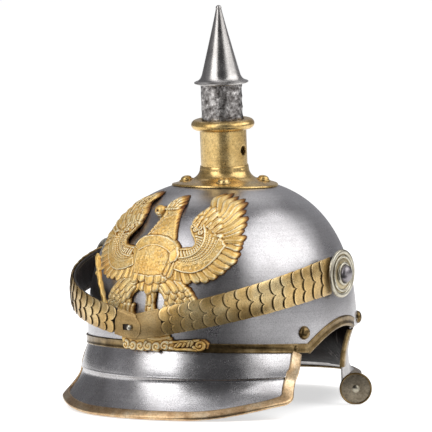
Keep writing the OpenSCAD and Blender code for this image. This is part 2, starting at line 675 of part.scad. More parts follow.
// Threaded posts on the plate's back pass through the skull to nuts inside
post_d = 3;
post_places = [[-47, 137], [50, 137], [-32, 101.5], [35, 101.5]];
eagle_nut_d = 7.5;
post_end = 0.9;                 // how far a post reaches past its nut
module at_posts() {
    for (p = post_places) let (z = eagle_up(p[1]), a = asin(p[0] / (half_w * dome_k(z, 0))), d = 0.5,
        up = dome_pt(a, z + d, 0) - dome_pt(a, z - d, 0),
        along = dome_pt(a + d, z, 0) - dome_pt(a - d, z, 0), n = unit(cross(along, up)))
        translate(dome_pt(a, z, 0)) rotate([0, acos(n.z), atan2(n.y, n.x)]) children();
}
module eagle_posts() {
    color(gilt) leaned() at_posts() translate([0, 0, -steel_t - nut_t - post_end])
        cylinder(h = steel_t + nut_t + post_end + eagle_gap - seat_gap, d = post_d);
}
module eagle_nuts() {
    color(brass) leaned() at_posts() translate([0, 0, -steel_t - seat_gap - nut_t]) difference() {
        cylinder(h = nut_t, d = eagle_nut_d, $fn = 6);
        cylinder(h = 3 * nut_t, d = post_d + touch, center = true);
    }
}

// Pivots of the chin strap. Their places follow from the skull's side
lug_r = 7.5;
widest_under_rosette = dome_x(-pivot_fwd, pivot_z - rosette_d / 2, 0);
strap_in = widest_under_rosette + 0.7;          // inner face of the leather
scale_slope = scale_t + 0.15;                   // how far a scale climbs over the next one
scale_len = 1.4;                                // length of a scale in pitches
scales_out = leather_t + touch + scale_slope * scale_len + scale_t + scale_crown;
rosette_x = strap_in + scales_out + 0.4;
boss_h = 4;                                     // how far the rosette's middle stands out
bolt_r = bolt_d / 2;
bolt_head_d = 15;
bolt_head_h = 4.5;
bolt_end = 5;                                   // how far the bolt reaches past the lug
pivot_nut_d = 14;
pivot_nut_t = 4;
lug_deep = 9;                                   // how far the lug reaches inside the skull
lug_in = dome_x(-pivot_fwd, pivot_z, 0) - lug_deep;
module at_pivot(x) { translate([x, -pivot_fwd, pivot_z]) rotate([0, 90, 0]) children(); }
module rosette() {
    r = rosette_d / 2;
    in = bolt_r + touch;
    t = rosette_t;
    color(nickel) leaned() at_pivot(rosette_x) rotate_extrude() polygon([
        [in, boss_h - t], [8, boss_h - t], [r - 5, 0.6], [r - 2, 0], [r, 0.8], [r, t], [r - 1.5, t + 0.7],
        [r - 3.5, t], [r - 5, t + 0.2], [r - 6.5, t + 1.4], [r - 8.5, t + 1], [r - 10, t + 2.4],
        [r - 12, t + 2.2], [8, t + boss_h - 1], [in, t + boss_h - 1]]);
}
module pivot_bolt() {
    head_x = rosette_x + rosette_t + boss_h - 1 + touch;
    color(steel) leaned() {
        at_pivot(head_x) domed(bolt_head_d, bolt_head_h);
        at_pivot(lug_in - bolt_end) cylinder(h = head_x - lug_in + bolt_end + 2 * touch, r = bolt_r);
    }
}
module strap_lug() {
    color(brass) leaned() at_pivot(lug_in) difference() {
        cylinder(h = strap_in - touch * 3 - lug_in, r = lug_r);
        cylinder(h = 3 * past, r = bolt_r + touch, center = true);
    }
}
module pivot_nut() {
    color(steel) leaned() at_pivot(lug_in - pivot_nut_t - touch) difference() {
        cylinder(h = pivot_nut_t, d = pivot_nut_d, $fn = 6);
        cylinder(h = 3 * pivot_nut_t, r = bolt_r + touch / 2, center = true);
    }
}
module rosette_left() { rosette(); }
module rosette_right() { mirror([1, 0, 0]) rosette(); }
module pivot_bolt_left() { pivot_bolt(); }
module pivot_bolt_right() { mirror([1, 0, 0]) pivot_bolt(); }
module strap_lug_left() { strap_lug(); }
module strap_lug_right() { mirror([1, 0, 0]) strap_lug(); }
module pivot_nut_left() { pivot_nut(); }
module pivot_nut_right() { mirror([1, 0, 0]) pivot_nut(); }

// The strap's run, from the left pivot to the front and a little past it. It is a
// rounded rectangle in plan, and drops more and more towards the front
strap_square = 2.35;
strap_fwd = strap_stand - front_pt([0, pivot_z - strap_drop], 0).y - pivot_fwd;
run_steps = 96;
function run_xy(b) = let (e = 2 / strap_square) [
    strap_in * sign(sin(b)) * pow(abs(sin(b)), e), -strap_fwd * pow(abs(cos(b)), e)];
run_xys = [for (k = [0:run_steps]) run_xy(90 - 120 * k / run_steps)];
function run_sums(k, total) = k > run_steps ? []
    : let (s = total + (k == 0 ? 0 : norm(run_xys[k] - run_xys[k - 1]))) concat([[s, k]], run_sums(k + 1, s));
run_table = run_sums(0, 0);
front_s = lookup(run_steps * 0.75, [for (r = run_table) [r[1], r[0]]]);
function run_at(s) =
    let (b = 90 - 120 * lookup(s, run_table) / run_steps, p = run_xy(b), f = min(1, s / front_s))
    [p.x, p.y - pivot_fwd, pivot_z - strap_drop * pow(f, 1.6)];
function run_dir(s) = unit(run_at(s + 0.6) - run_at(s - 0.6));
function run_out(s) = let (d = s < 1 ? [0, -1, 0] : run_dir(s)) unit([-d.y, d.x, 0]);
function run_up(s) = let (d = s < 1 ? [0, -1, 0] : run_dir(s)) unit(cross(d, run_out(s)));
function run_pt(s, up, out) = run_at(s) + up * run_up(s) * up_sign + out * run_out(s);
up_sign = run_up(40).z > 0 ? 1 : -1;
function strap_half(s) =
    (scale_wide + (scale_narrow - scale_wide) * min(1, s / front_s)) / 2;

// Where each half's scales stop and its plain end plate begins and ends, from the front
left_scales = -25.5;
left_plate = [-23.5, 13];
right_scales = -20.5;
right_plate = [-17.8, 5.6];
module strap_strip(from, to, share, near, far) {
    n = ceil((to - from) / 5);
    swept([for (i = [0:n]) let (s = from + (to - from) * i / n, h = strap_half(s) * share)
        [run_pt(s, h, far), run_pt(s, -h, far), run_pt(s, -h, near), run_pt(s, h, near)]]);
}
leather_share = 0.92;           // the leather is a little narrower than the scales
module chin_leather(to) {
    color(leather) leaned() difference() {
        union() {
            strap_strip(1, to, leather_share, 0, leather_t);
            at_pivot(strap_in) cylinder(h = leather_t, r = strap_half(0) * leather_share);
        }
        at_pivot(strap_in - past / 2) cylinder(h = past, r = bolt_r + pivot_gap);
    }
}
module chin_leather_left() { chin_leather(front_s + left_plate[0] + 2); }
module chin_leather_right() { mirror([1, 0, 0]) chin_leather(front_s + right_plate[0] + 2); }

// A plate on the strap, drawn across its width. It is domed across, climbs towards
// its free end and ends in one or two rounded lobes
function lobe_end(u, lobes) =
    let (v = lobes == 2 ? 2 * abs(u) - 1 : u) 1 - sqrt(max(0, 1 - v * v));
module run_plate(from, len, climb, near, lobes, lobe_depth, cols) {
    swept([for (k = [0:cols])
        let (u = sin(90 * (2 * k / cols - 1)), up = scale_crown * (1 - u * u),
             end = len - lobe_depth * lobe_end(u, lobes))
        concat([for (q = [0, 0.5, 1]) let (s = from + end * q)
                    run_pt(s, u * strap_half(s), near + up + climb * end * q + scale_t)],
               [for (q = [1, 0.5, 0]) let (s = from + end * q)
                    run_pt(s, u * strap_half(s), near + up + climb * end * q)])]);
}
scale_from = rosette_d / 2 - 5;
scale_lobe = 5;                 // depth of the lobes at a scale's free end
module chin_scales(to) {
    pitch = (to - scale_from) / scale_n;
    color(gilt) leaned() for (k = [0:scale_n - 1])
        run_plate(scale_from + pitch * k, pitch * scale_len, scale_slope / pitch, leather_t + touch, 2,
            scale_lobe, 8);
}
module chin_scales_left() { chin_scales(front_s + left_scales); }
module chin_scales_right() { mirror([1, 0, 0]) chin_scales(front_s + right_scales); }

// Plain end plates. The left one dips under the right one and carries a stud that
// stands in the right one's slot
plate_gap = 0.25;
left_dip = 0.034;               // how much the left plate dips along its length
left_near = leather_t + touch;
right_near = left_near - left_dip * (-right_plate[1] - left_plate[0]) + scale_t + plate_gap;
stud_x = -4;                    // place of the stud across the front
slot = [10, 5];
hook_d = 3;                     // the stud that holds the strap's halves together
hook_h = 3;
hook_head_d = 4.4;
hook_head_h = 1.4;
module chin_end_left() {
    color(gilt) leaned() run_plate(front_s + left_plate[0], left_plate[1] - left_plate[0], -left_dip,
        left_near, 1, strap_half(front_s), 10);
}
module chin_end_right() {
    p = run_pt(front_s, 0, right_near);
    color(gilt) leaned() difference() {
        mirror([1, 0, 0]) run_plate(front_s + right_plate[0], right_plate[1] - right_plate[0], 0,
            right_near, 1, strap_half(front_s), 10);
        translate([stud_x - slot[0] + hook_d, p.y - past / 2, p.z - slot[1] / 2])
            cube([slot[0], past, slot[1]]);
    }
}
module chin_stud() {
    p = run_pt(front_s, 0, left_near - left_dip * (-left_plate[0] - stud_x) + scale_t + scale_crown + touch);
    color(gilt) leaned() translate([stud_x, p.y, p.z]) rotate([90, 0, 0]) {
        cylinder(h = hook_h, d = hook_d);
        translate([0, 0, hook_h - 0.8]) domed(hook_head_d, hook_head_h);
    }
}

// The lining: a leather sweatband on a ring inside the skull, and leather tongues
sweat_z = ear_top_z + 1.5;
sweat_out = -steel_t - sweat_gap;
lining_cols = 40;
ring_gap = 0.5;                 // play of the ring inside the skull
function lining_loop(a, zs, far, near) = concat(
    [for (z = zs) dome_pt(a, z, far)], [for (k = [len(zs) - 1:-1:0]) dome_pt(a, zs[k], near)]);
module sweatband() {
    zs = [sweat_z, sweat_z + sweat_h / 2, sweat_z + sweat_h];
    color(leather) leaned() swept([for (i = [0:lining_cols - 1])
        lining_loop(360 * i / lining_cols, zs, sweat_out, sweat_out - sweat_t)], ring = true);
}
module liner_ring() {
    top = sweat_z + 14;
    color(leather) leaned() swept([for (i = [0:lining_cols - 1])
        lining_loop(360 * i / lining_cols, [top - 12, top], -steel_t - ring_gap, sweat_out + plate_gap)],
        ring = true);
}
tongue_share = 0.68;            // width of a tongue's root in its share of the ring
module liner_tongues() {
    from = sweat_z + sweat_h - 8;
    to = wide_z + dome_h - 32;
    near = sweat_out - sweat_t - 2 * plate_gap - sweat_t;
    color(leather) leaned() for (k = [0:tongue_n - 1]) swept([for (j = [0:8])
        let (q = j / 8, z = from + (to - from) * sin(90 * q), a = 360 * k / tongue_n,
             w = 180 / tongue_n * tongue_share * (1 - 0.25 * q))
        [dome_pt(a + w, z, near + sweat_t), dome_pt(a, z, near + sweat_t), dome_pt(a - w, z, near + sweat_t),
         dome_pt(a - w, z, near), dome_pt(a, z, near), dome_pt(a + w, z, near)]]);
}

skull();
front_visor();
visor_trim();
brow_band();
ear_trim_left();
ear_trim_right();
neck_guard();
neck_guard_trim();
visor_rivets();
neck_guard_rivets();
band_rivets();
lobe_rivets();
spike_base();
collar_ring();
base_studs();
base_nuts();
spike_cone();
spike_sleeve();
spike_spring();
eagle_plate();
eagle_rod();
eagle_posts();
eagle_nuts();
rosette_left();
rosette_right();
pivot_bolt_left();
pivot_bolt_right();
strap_lug_left();
strap_lug_right();
pivot_nut_left();
pivot_nut_right();
chin_leather_left();
chin_leather_right();
chin_scales_left();
chin_scales_right();
chin_end_left();
chin_end_right();
chin_stud();
sweatband();
liner_ring();
liner_tongues();
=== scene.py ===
import json
import math
import bpy
import bmesh
import numpy as np
from mathutils import Matrix, Vector, noise

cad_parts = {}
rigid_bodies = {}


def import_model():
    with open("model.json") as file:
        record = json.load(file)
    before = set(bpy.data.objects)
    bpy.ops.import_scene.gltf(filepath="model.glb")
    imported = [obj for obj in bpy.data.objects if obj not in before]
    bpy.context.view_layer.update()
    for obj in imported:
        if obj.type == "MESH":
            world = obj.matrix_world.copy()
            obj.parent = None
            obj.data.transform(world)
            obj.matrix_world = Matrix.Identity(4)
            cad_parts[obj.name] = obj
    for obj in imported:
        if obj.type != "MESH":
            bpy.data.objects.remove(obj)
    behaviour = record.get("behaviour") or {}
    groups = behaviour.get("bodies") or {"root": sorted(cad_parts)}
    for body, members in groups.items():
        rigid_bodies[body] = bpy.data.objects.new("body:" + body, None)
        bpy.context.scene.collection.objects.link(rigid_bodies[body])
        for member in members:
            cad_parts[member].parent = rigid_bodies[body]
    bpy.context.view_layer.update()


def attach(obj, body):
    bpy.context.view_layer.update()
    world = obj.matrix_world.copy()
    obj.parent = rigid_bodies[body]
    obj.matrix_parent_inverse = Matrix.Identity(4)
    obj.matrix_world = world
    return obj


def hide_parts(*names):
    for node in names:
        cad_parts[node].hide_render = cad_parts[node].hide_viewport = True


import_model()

# Camera: a long lens, 31 degrees to the wearer's left of the front
view = dict(azimuth=31, elevation=4.45, distance=4.888, aim=(0, 0, 0.1598), lens=498.3,
            shift=(-0.0391, -0.0220))


def fromAngles(azimuth, elevation, distance):
    a, e = math.radians(azimuth), math.radians(elevation)
    return Vector((math.sin(a) * math.cos(e), -math.cos(a) * math.cos(e), math.sin(e))) * distance


camData = bpy.data.cameras.new("camera")
camData.lens, camData.sensor_width = view["lens"], 36
camData.shift_x, camData.shift_y = view["shift"]
camData.clip_end = 50
cam = bpy.data.objects.new("camera", camData)
cam.location = Vector(view["aim"]) + fromAngles(view["azimuth"], view["elevation"], view["distance"])
cam.rotation_euler = (Vector(view["aim"]) - cam.location).to_track_quat("-Z", "Y").to_euler()
bpy.context.scene.collection.objects.link(cam)
bpy.context.scene.camera = cam
bpy.context.scene.view_settings.view_transform = "Standard"

# Light: two softboxes beside the camera, with darker cards between and beyond them
# that only the metal sees, and a white background. Each one is (azimuth, elevation,
# distance, width, height, level)
studio = dict(
    target=(0, 0, 0.16), world=0.42, floorSize=14, floorDrop=0.0005, floorGrey=0.92, floorGlow=0.62,
    softboxes=[(111, 43, 1.7, 2.0, 1.42, 1.7), (-15, 33, 1.7, 1.1, 1.8, 2.0),
               (211, 52, 2.0, 1.5, 0.9, 0.7)],
    top=(31, 82, 1.8, 0.9, 0.9, 0.5),
    cards=[(35, 18, 2.6, 2.8, 3.6, 0.07), (112, 3, 2.4, 3.4, 0.8, 0.3), (-60, 22, 2.6, 2.3, 3.4, 0.3),
           (-17, 0, 2.4, 1.6, 0.8, 0.3), (164, 20, 2.6, 1.9, 3.6, 0.26), (204, 16, 2.7, 1.9, 3.6, 0.36),
           (244, 16, 2.6, 1.9, 3.6, 0.2), (280, 20, 2.7, 1.9, 3.6, 0.2), (31, 89, 2.4, 4.2, 4.2, 0.2),
           (-25, 70, 2.1, 0.8, 0.8, 0.95)],
    floorCard=dict(azimuth=32, far=0.95, width=0.8, height=1.6, level=0.08))
target = Vector(studio["target"])
white = (1, 1, 1, 1)


def facing(location):
    return (target - location).to_track_quat("-Z", "Y").to_euler()


def softbox(name, azimuth, elevation, distance, width, height, level):
    data = bpy.data.lights.new(name, "AREA")
    data.shape, data.size, data.size_y = "RECTANGLE", width, height
    data.energy = level * math.pi * width * height
    lamp = bpy.data.objects.new(name, data)
    lamp.location = target + fromAngles(azimuth, elevation, distance)
    lamp.rotation_euler = facing(lamp.location)
    bpy.context.scene.collection.objects.link(lamp)


def plane(name, width, height, place):
    bm = bmesh.new()
    bmesh.ops.create_grid(bm, x_segments=1, y_segments=1, size=0.5)
    for v in bm.verts:
        v.co = place @ Vector((v.co.x * width, v.co.y * height, 0))
    mesh = bpy.data.meshes.new(name)
    bm.to_mesh(mesh)
    bm.free()
    obj = bpy.data.objects.new(name, mesh)
    bpy.context.scene.collection.objects.link(obj)
    return obj


def shader(name):
    mat = bpy.data.materials.new(name)
    mat.use_nodes = True
    mat.node_tree.nodes.clear()
    out = mat.node_tree.nodes.new("ShaderNodeOutputMaterial")
    return mat, mat.node_tree, out


def card(name, place, width, height, level):
    obj = plane(name, width, height, place)
    mat, tree, out = shader(name)
    glow = tree.nodes.new("ShaderNodeEmission")
    glow.inputs["Color"].default_value = (level, level, level * 1.05, 1)
    tree.links.new(glow.outputs[0], out.inputs["Surface"])
    obj.data.materials.append(mat)
    obj.visible_camera = obj.visible_diffuse = obj.visible_shadow = False


for i, box in enumerate(studio["softboxes"]):
    softbox("softbox_%d" % i, *box)
softbox("softbox_top", *studio["top"])
for i, (azimuth, elevation, distance, width, height, level) in enumerate(studio["cards"]):
    spot = target + fromAngles(azimuth, elevation, distance)
    card("card_%d" % i, Matrix.Translation(spot) @ facing(spot).to_matrix().to_4x4(), width, height, level)
low = studio["floorCard"]
place = Matrix.Translation(fromAngles(low["azimuth"], 0, low["far"]))
card("card_floor", place @ Matrix.Rotation(math.radians(low["azimuth"]), 4, "Z"), low["width"],
     low["height"], low["level"])


def largest(tree, first, *others):
    # The largest of some light path answers: 1 where any of them is true
    most = first
    for other in others:
        node = tree.nodes.new("ShaderNodeMath")
        node.operation = "MAXIMUM"
        tree.links.new(most, node.inputs[0])
        tree.links.new(other, node.inputs[1])
        most = node.outputs[0]
    return most


def mixedInto(tree, out, share, plain, seen):
    mix = tree.nodes.new("ShaderNodeMixShader")
    for source, socket in zip((share, plain, seen), mix.inputs):
        tree.links.new(source, socket)
    tree.links.new(mix.outputs[0], out.inputs["Surface"])


def plainNode(tree, kind, colour, strength=None):
    node = tree.nodes.new(kind)
    node.inputs["Color"].default_value = colour
    if strength is not None:
        node.inputs["Strength"].default_value = strength
    return node.outputs[0]


# The world is white to the camera and in gloss, and grey for the light that falls on things
world = bpy.data.worlds.new("world")
bpy.context.scene.world = world
world.use_nodes = True
tree = world.node_tree
tree.nodes.clear()
out = tree.nodes.new("ShaderNodeOutputWorld")
path = tree.nodes.new("ShaderNodeLightPath").outputs
ambient = plainNode(tree, "ShaderNodeBackground", white, studio["world"])
backdrop = plainNode(tree, "ShaderNodeBackground", white, 1)
seen = largest(tree, path["Is Camera Ray"], path["Is Glossy Ray"], path["Is Transmission Ray"])
mixedInto(tree, out, seen, ambient, backdrop)

# The floor glows to the camera and in gloss, so that only the helmet's shadow shows on it
floor = plane("floor", studio["floorSize"], studio["floorSize"],
              Matrix.Translation((0, 0, -studio["floorDrop"])))
floorMat, tree, out = shader("floor")
path = tree.nodes.new("ShaderNodeLightPath").outputs
grey = plainNode(tree, "ShaderNodeBsdfDiffuse", (*[studio["floorGrey"]] * 3, 1))
both = tree.nodes.new("ShaderNodeAddShader")
tree.links.new(grey, both.inputs[0])
tree.links.new(plainNode(tree, "ShaderNodeEmission", white, studio["floorGlow"]), both.inputs[1])
mixedInto(tree, out, largest(tree, path["Is Camera Ray"], path["Is Glossy Ray"]), grey, both.outputs[0])
floor.data.materials.append(floorMat)
print("camera and light")


# Materials
def coords(tree, scale, turn=(0, 0, 0)):
    at = tree.nodes.new("ShaderNodeTexCoord")
    mapping = tree.nodes.new("ShaderNodeMapping")
    mapping.inputs["Scale"].default_value = scale
    mapping.inputs["Rotation"].default_value = turn
    tree.links.new(at.outputs["Object"], mapping.inputs["Vector"])
    return mapping.outputs["Vector"]


def noiseNode(tree, vector, scale=1.0, detail=4.0, rough=0.55):
    node = tree.nodes.new("ShaderNodeTexNoise")
    node.inputs["Scale"].default_value = scale
    node.inputs["Detail"].default_value = detail
    node.inputs["Roughness"].default_value = rough
    tree.links.new(vector, node.inputs["Vector"])
    return node.outputs["Fac"]


def ramp(tree, value, stops):
    node = tree.nodes.new("ShaderNodeValToRGB")
    while len(node.color_ramp.elements) < len(stops):
        node.color_ramp.elements.new(0.5)
    for element, (place, colour) in zip(node.color_ramp.elements, stops):
        element.position = place
        element.color = (*colour, 1) if isinstance(colour, tuple) else (colour, colour, colour, 1)
    tree.links.new(value, node.inputs["Fac"])
    return node.outputs["Color"]


def blended(tree, kind, amount, a, b):
    node = tree.nodes.new("ShaderNodeMix")
    node.data_type, node.blend_type = "RGBA", kind
    if isinstance(amount, float):
        node.inputs[0].default_value = amount
    else:
        tree.links.new(amount, node.inputs[0])
    tree.links.new(a, node.inputs[6])
    if isinstance(b, tuple):
        node.inputs[7].default_value = (*b, 1)
    else:
        tree.links.new(b, node.inputs[7])
    return node.outputs[2]


def bumps(tree, layers):
    # Each layer is (height, depth in metres), and later layers lie on the earlier ones
    normal = None
    for height, depth in layers:
        node = tree.nodes.new("ShaderNodeBump")
        node.inputs["Strength"].default_value = 1
        node.inputs["Distance"].default_value = depth
        tree.links.new(height, node.inputs["Height"])
        if normal:
            tree.links.new(normal, node.inputs["Normal"])
        normal = node.outputs["Normal"]
    return normal


def metal(name, tones, rough=(0.25, 0.4), patch=30, streak=None, streakDepth=0.00001, pits=None,
          specks=None, wear=None, dents=0.00002, metallic=1):
    # Metal with mottled colour, brushed streaks, pits, dark specks and, from an attribute, painted shade in
    # hollows and painted highlights on raised edges
    mat, tree, out = shader(name)
    surface = tree.nodes.new("ShaderNodeBsdfPrincipled")
    surface.inputs["Metallic"].default_value = metallic
    plain = coords(tree, (1, 1, 1))
    clouds = noiseNode(tree, plain, patch, 6, 0.6)
    colour = ramp(tree, clouds, [(0.32, tones[0]), (0.5, tones[1]), (0.68, tones[2])])
    layers = [(noiseNode(tree, plain, patch * 1.7, 3), dents)]
    if streak:
        lines = noiseNode(tree, coords(tree, streak), 1, 5, 0.65)
        layers.append((lines, streakDepth))
        colour = blended(tree, "MULTIPLY", 0.35, colour, ramp(tree, lines, [(0.35, 0.72), (0.62, 1.0)]))
    if pits:
        scale, depth = pits
        grain = noiseNode(tree, plain, scale, 6, 0.7)
        layers.append((grain, depth))
        colour = blended(tree, "MULTIPLY", 0.6, colour, ramp(tree, grain, [(0.34, 0.35), (0.56, 1.0)]))
    if specks:
        scale, size, spot = specks
        cells = tree.nodes.new("ShaderNodeTexVoronoi")
        cells.inputs["Scale"].default_value = scale
        tree.links.new(plain, cells.inputs["Vector"])
        few = ramp(tree, noiseNode(tree, plain, scale * 0.35, 2), [(0.5, 0.0), (0.62, 1.0)])
        dots = ramp(tree, cells.outputs["Distance"], [(size * 0.5, 1.0), (size, 0.0)])
        dots = blended(tree, "MULTIPLY", 1.0, dots, few)
        colour = blended(tree, "MIX", dots, colour, spot)
    if wear:
        # The attribute gives painted shade in hollows, near black where it is 0, and painted highlights on
        # raised edges
        edge = tree.nodes.new("ShaderNodeAttribute")
        edge.attribute_name = "relief"
        low, high = wear
        shade = ramp(tree, edge.outputs["Fac"], [(0.0, 0.03), (0.13, low), (0.5, 1.0)])
        colour = blended(tree, "MULTIPLY", 1.0, colour, shade)
        raised = ramp(tree, edge.outputs["Fac"], [(0.55, 0.0), (0.85, 1.0)])
        colour = blended(tree, "MIX", raised, colour, high)
    tree.links.new(colour, surface.inputs["Base Color"])
    level = ramp(tree, noiseNode(tree, plain, patch * 2.3, 5, 0.65), [(0.3, rough[0]), (0.7, rough[1])])
    tree.links.new(level, surface.inputs["Roughness"])
    tree.links.new(bumps(tree, layers), surface.inputs["Normal"])
    tree.links.new(surface.outputs[0], out.inputs["Surface"])
    return mat


def leather(name, tones, grain=900, depth=0.00012, rough=(0.5, 0.75)):
    mat, tree, out = shader(name)
    surface = tree.nodes.new("ShaderNodeBsdfPrincipled")
    plain = coords(tree, (1, 1, 1))
    clouds = noiseNode(tree, plain, 55, 6, 0.62)
    colour = ramp(tree, clouds, [(0.3, tones[0]), (0.5, tones[1]), (0.72, tones[2])])
    cells = tree.nodes.new("ShaderNodeTexVoronoi")
    cells.feature = "DISTANCE_TO_EDGE"
    cells.inputs["Scale"].default_value = grain
    tree.links.new(plain, cells.inputs["Vector"])
    creases = ramp(tree, cells.outputs["Distance"], [(0.02, 0.0), (0.18, 1.0)])
    colour = blended(tree, "MULTIPLY", 0.5, colour, creases)
    tree.links.new(colour, surface.inputs["Base Color"])
    level = ramp(tree, noiseNode(tree, plain, 120, 4), [(0.3, rough[0]), (0.7, rough[1])])
    tree.links.new(level, surface.inputs["Roughness"])
    wrinkles = noiseNode(tree, plain, 90, 4, 0.6)
    tree.links.new(bumps(tree, [(wrinkles, 0.0006), (creases, depth)]), surface.inputs["Normal"])
    tree.links.new(surface.outputs[0], out.inputs["Surface"])
    return mat


def lacquer(name, tones, streaks):
    # Dark lacquer, worn through to pale steel in upright streaks
    mat, tree, out = shader(name)
    surface = tree.nodes.new("ShaderNodeBsdfPrincipled")
    plain = coords(tree, (1, 1, 1))
    colour = ramp(tree, noiseNode(tree, plain, 60, 6, 0.65), [(0.3, tones[0]), (0.7, tones[1])])
    lines = noiseNode(tree, coords(tree, streaks), 1, 5, 0.7)
    patches = ramp(tree, noiseNode(tree, plain, 20, 3), [(0.5, 0.0), (0.64, 1.0)])
    worn = blended(tree, "MULTIPLY", 1.0, ramp(tree, lines, [(0.5, 0.0), (0.68, 0.7)]), patches)
    colour = blended(tree, "MIX", worn, colour, tones[2])
    tree.links.new(colour, surface.inputs["Base Color"])
    tree.links.new(worn, surface.inputs["Metallic"])
    tree.links.new(ramp(tree, lines, [(0.3, 0.42), (0.7, 0.6)]), surface.inputs["Roughness"])
    surface.inputs["IOR"].default_value = 1.12
    tree.links.new(bumps(tree, [(lines, 0.00008)]), surface.inputs["Normal"])
    tree.links.new(surface.outputs[0], out.inputs["Surface"])
    return mat


grimeSpot, rustSpot = (0.2, 0.17, 0.15), (0.12, 0.065, 0.03)
rolled = dict(patch=38, streak=(60, 60, 60), streakDepth=0.00001, pits=(900, 0.00002),
              specks=(170, 0.1, rustSpot), dents=0.00004)
mats = dict(
    polished=metal("polished_steel", [(0.44, 0.425, 0.43), (0.54, 0.525, 0.535), (0.6, 0.59, 0.6)],
                   (0.25, 0.37), 16, streak=(9, 9, 560), streakDepth=0.00002, pits=(1100, 0.000012),
                   specks=(120, 0.05, grimeSpot)),
    visor=metal("visor_steel", [(0.42, 0.4, 0.4), (0.53, 0.515, 0.52), (0.6, 0.59, 0.6)],
                (0.19, 0.32), 20, streak=(26, 26, 640), streakDepth=0.00003, pits=(1000, 0.000015),
                specks=(150, 0.06, grimeSpot)),
    guard=metal("guard_steel", [(0.3, 0.28, 0.27), (0.42, 0.4, 0.39), (0.52, 0.5, 0.49)],
                (0.3, 0.46), 40, streak=(300, 300, 30), streakDepth=0.00003, pits=(420, 0.00003)),
    spike=metal("spike_steel", [(0.38, 0.36, 0.345), (0.5, 0.48, 0.465), (0.58, 0.56, 0.545)],
                (0.22, 0.34), 26, streak=(500, 500, 14), streakDepth=0.00003, pits=(1400, 0.00001)),
    worn=metal("worn_steel", [(0.07, 0.06, 0.055), (0.32, 0.3, 0.29), (0.82, 0.79, 0.77)],
               (0.24, 0.44), 280, streak=(240, 240, 120), streakDepth=0.00005, pits=(900, 0.00016),
               dents=0.0001),
    trim=metal("trim_brass", [(0.5, 0.31, 0.16), (0.7, 0.49, 0.28), (0.84, 0.68, 0.47)],
               (0.28, 0.42), 75, streak=(160, 160, 160), streakDepth=0.00003, pits=(700, 0.00004),
               dents=0.0001),
    band=metal("dark_brass", [(0.11, 0.072, 0.03), (0.21, 0.142, 0.062), (0.36, 0.265, 0.135)],
               (0.26, 0.4), 90, pits=(600, 0.00004), dents=0.00006),
    bronze=metal("dull_bronze", [(0.17, 0.135, 0.095), (0.28, 0.235, 0.17), (0.38, 0.33, 0.25)],
                 (0.3, 0.44), 110, streak=(40, 40, 600), streakDepth=0.00004, pits=(600, 0.00005)),
    neck=metal("neck_brass", [(0.56, 0.36, 0.12), (0.72, 0.5, 0.2), (0.82, 0.61, 0.28)],
               (0.2, 0.32), 45, metallic=0.85, streak=(24, 24, 700), streakDepth=0.00003,
               pits=(500, 0.00002), specks=(180, 0.1, (0.16, 0.08, 0.03))),
    # The gilt's dark and pale attribute tones are painted shade and painted highlights
    gilt=metal("gilt_brass", [(0.86, 0.5, 0.12), (0.98, 0.65, 0.21), (1.0, 0.77, 0.36)],
               (0.4, 0.55), 80, metallic=0.6, pits=(1500, 0.00005),
               wear=((0.26, 0.13, 0.035), (1.0, 0.91, 0.64))),
    # The scales' dark and pale attribute tones are painted shade and painted highlights
    scale=metal("scale_brass", [(0.54, 0.33, 0.1), (0.84, 0.58, 0.24), (1.0, 0.79, 0.42)],
                (0.23, 0.35), metallic=0.75, wear=((0.035, 0.018, 0.008), (1.0, 0.86, 0.58)), **rolled),
    endBrass=metal("end_brass", [(0.3, 0.18, 0.06), (0.48, 0.315, 0.125), (0.66, 0.49, 0.25)],
                   (0.3, 0.42), metallic=0.65, **rolled),
    pale=metal("pale_brass", [(0.42, 0.38, 0.29), (0.55, 0.51, 0.41), (0.66, 0.63, 0.53)],
               (0.26, 0.38), 80, pits=(700, 0.00002)),
    hollow=metal("rosette_hollow", [(0.3, 0.24, 0.14), (0.42, 0.35, 0.22), (0.52, 0.45, 0.3)],
                 (0.34, 0.46), 80),
    bolt=metal("bolt_steel", [(0.15, 0.14, 0.145), (0.22, 0.2, 0.21), (0.3, 0.28, 0.29)], (0.3, 0.42), 90),
    inside=lacquer("inside_lacquer", [(0.006, 0.004, 0.003), (0.022, 0.015, 0.012), (0.42, 0.38, 0.37)],
                   (260, 260, 12)),
    strap=leather("strap_leather", [(0.012, 0.009, 0.008), (0.03, 0.02, 0.016), (0.07, 0.045, 0.03)],
                  rough=(0.42, 0.62)),
    thread=leather("thread", [(0.2, 0.15, 0.09), (0.34, 0.27, 0.17), (0.46, 0.38, 0.26)],
                   grain=2600, depth=0.00003),
    lining=leather("lining_leather", [(0.07, 0.035, 0.018), (0.14, 0.075, 0.04), (0.23, 0.135, 0.075)]),
)

# The helmet's own frame, in millimetres: spike along Z, front along -Y. It leans
# forward a little as it stands
helmet = dict(halfW=106.25, halfL=119.5, high=129.5, power=2.5, wide=54.5, midY=-11.3, steel=1.4, lean=4,
              brass=0.9, gap=0.3, bandW=7.5, trimW=6.6)
h = helmet
leanCos, leanSin = math.cos(math.radians(h["lean"])), math.sin(math.radians(h["lean"]))
leanTan = leanSin / leanCos
toHelmet = Matrix.Rotation(-math.radians(h["lean"]), 4, "X")
weld = 0.00001  # metres
bandOut = h["gap"] + h["brass"]


def world3(p):
    return Vector((p[0], p[1] * leanCos - p[2] * leanSin, p[1] * leanSin + p[2] * leanCos)) * 0.001


def tableZ(y):
    return -y * leanTan


def clamp(value, low, high):
    return min(high, max(low, value))


def smooth(q):
    q = clamp(q, 0, 1)
    return q * q * (3 - 2 * q)


def domeK(z, out):
    # The skull's width at a height, as a share of its width at the widest place
    if z <= h["wide"]:
        return 1
    return max(0, 1 - ((z - h["wide"]) / (h["high"] + out)) ** h["power"]) ** (1 / h["power"])


def domeAt(a, z, out):
    k = domeK(z, out)
    return Vector(((h["halfW"] + out) * k * math.sin(a), h["midY"] - (h["halfL"] + out) * k * math.cos(a),
                   z))


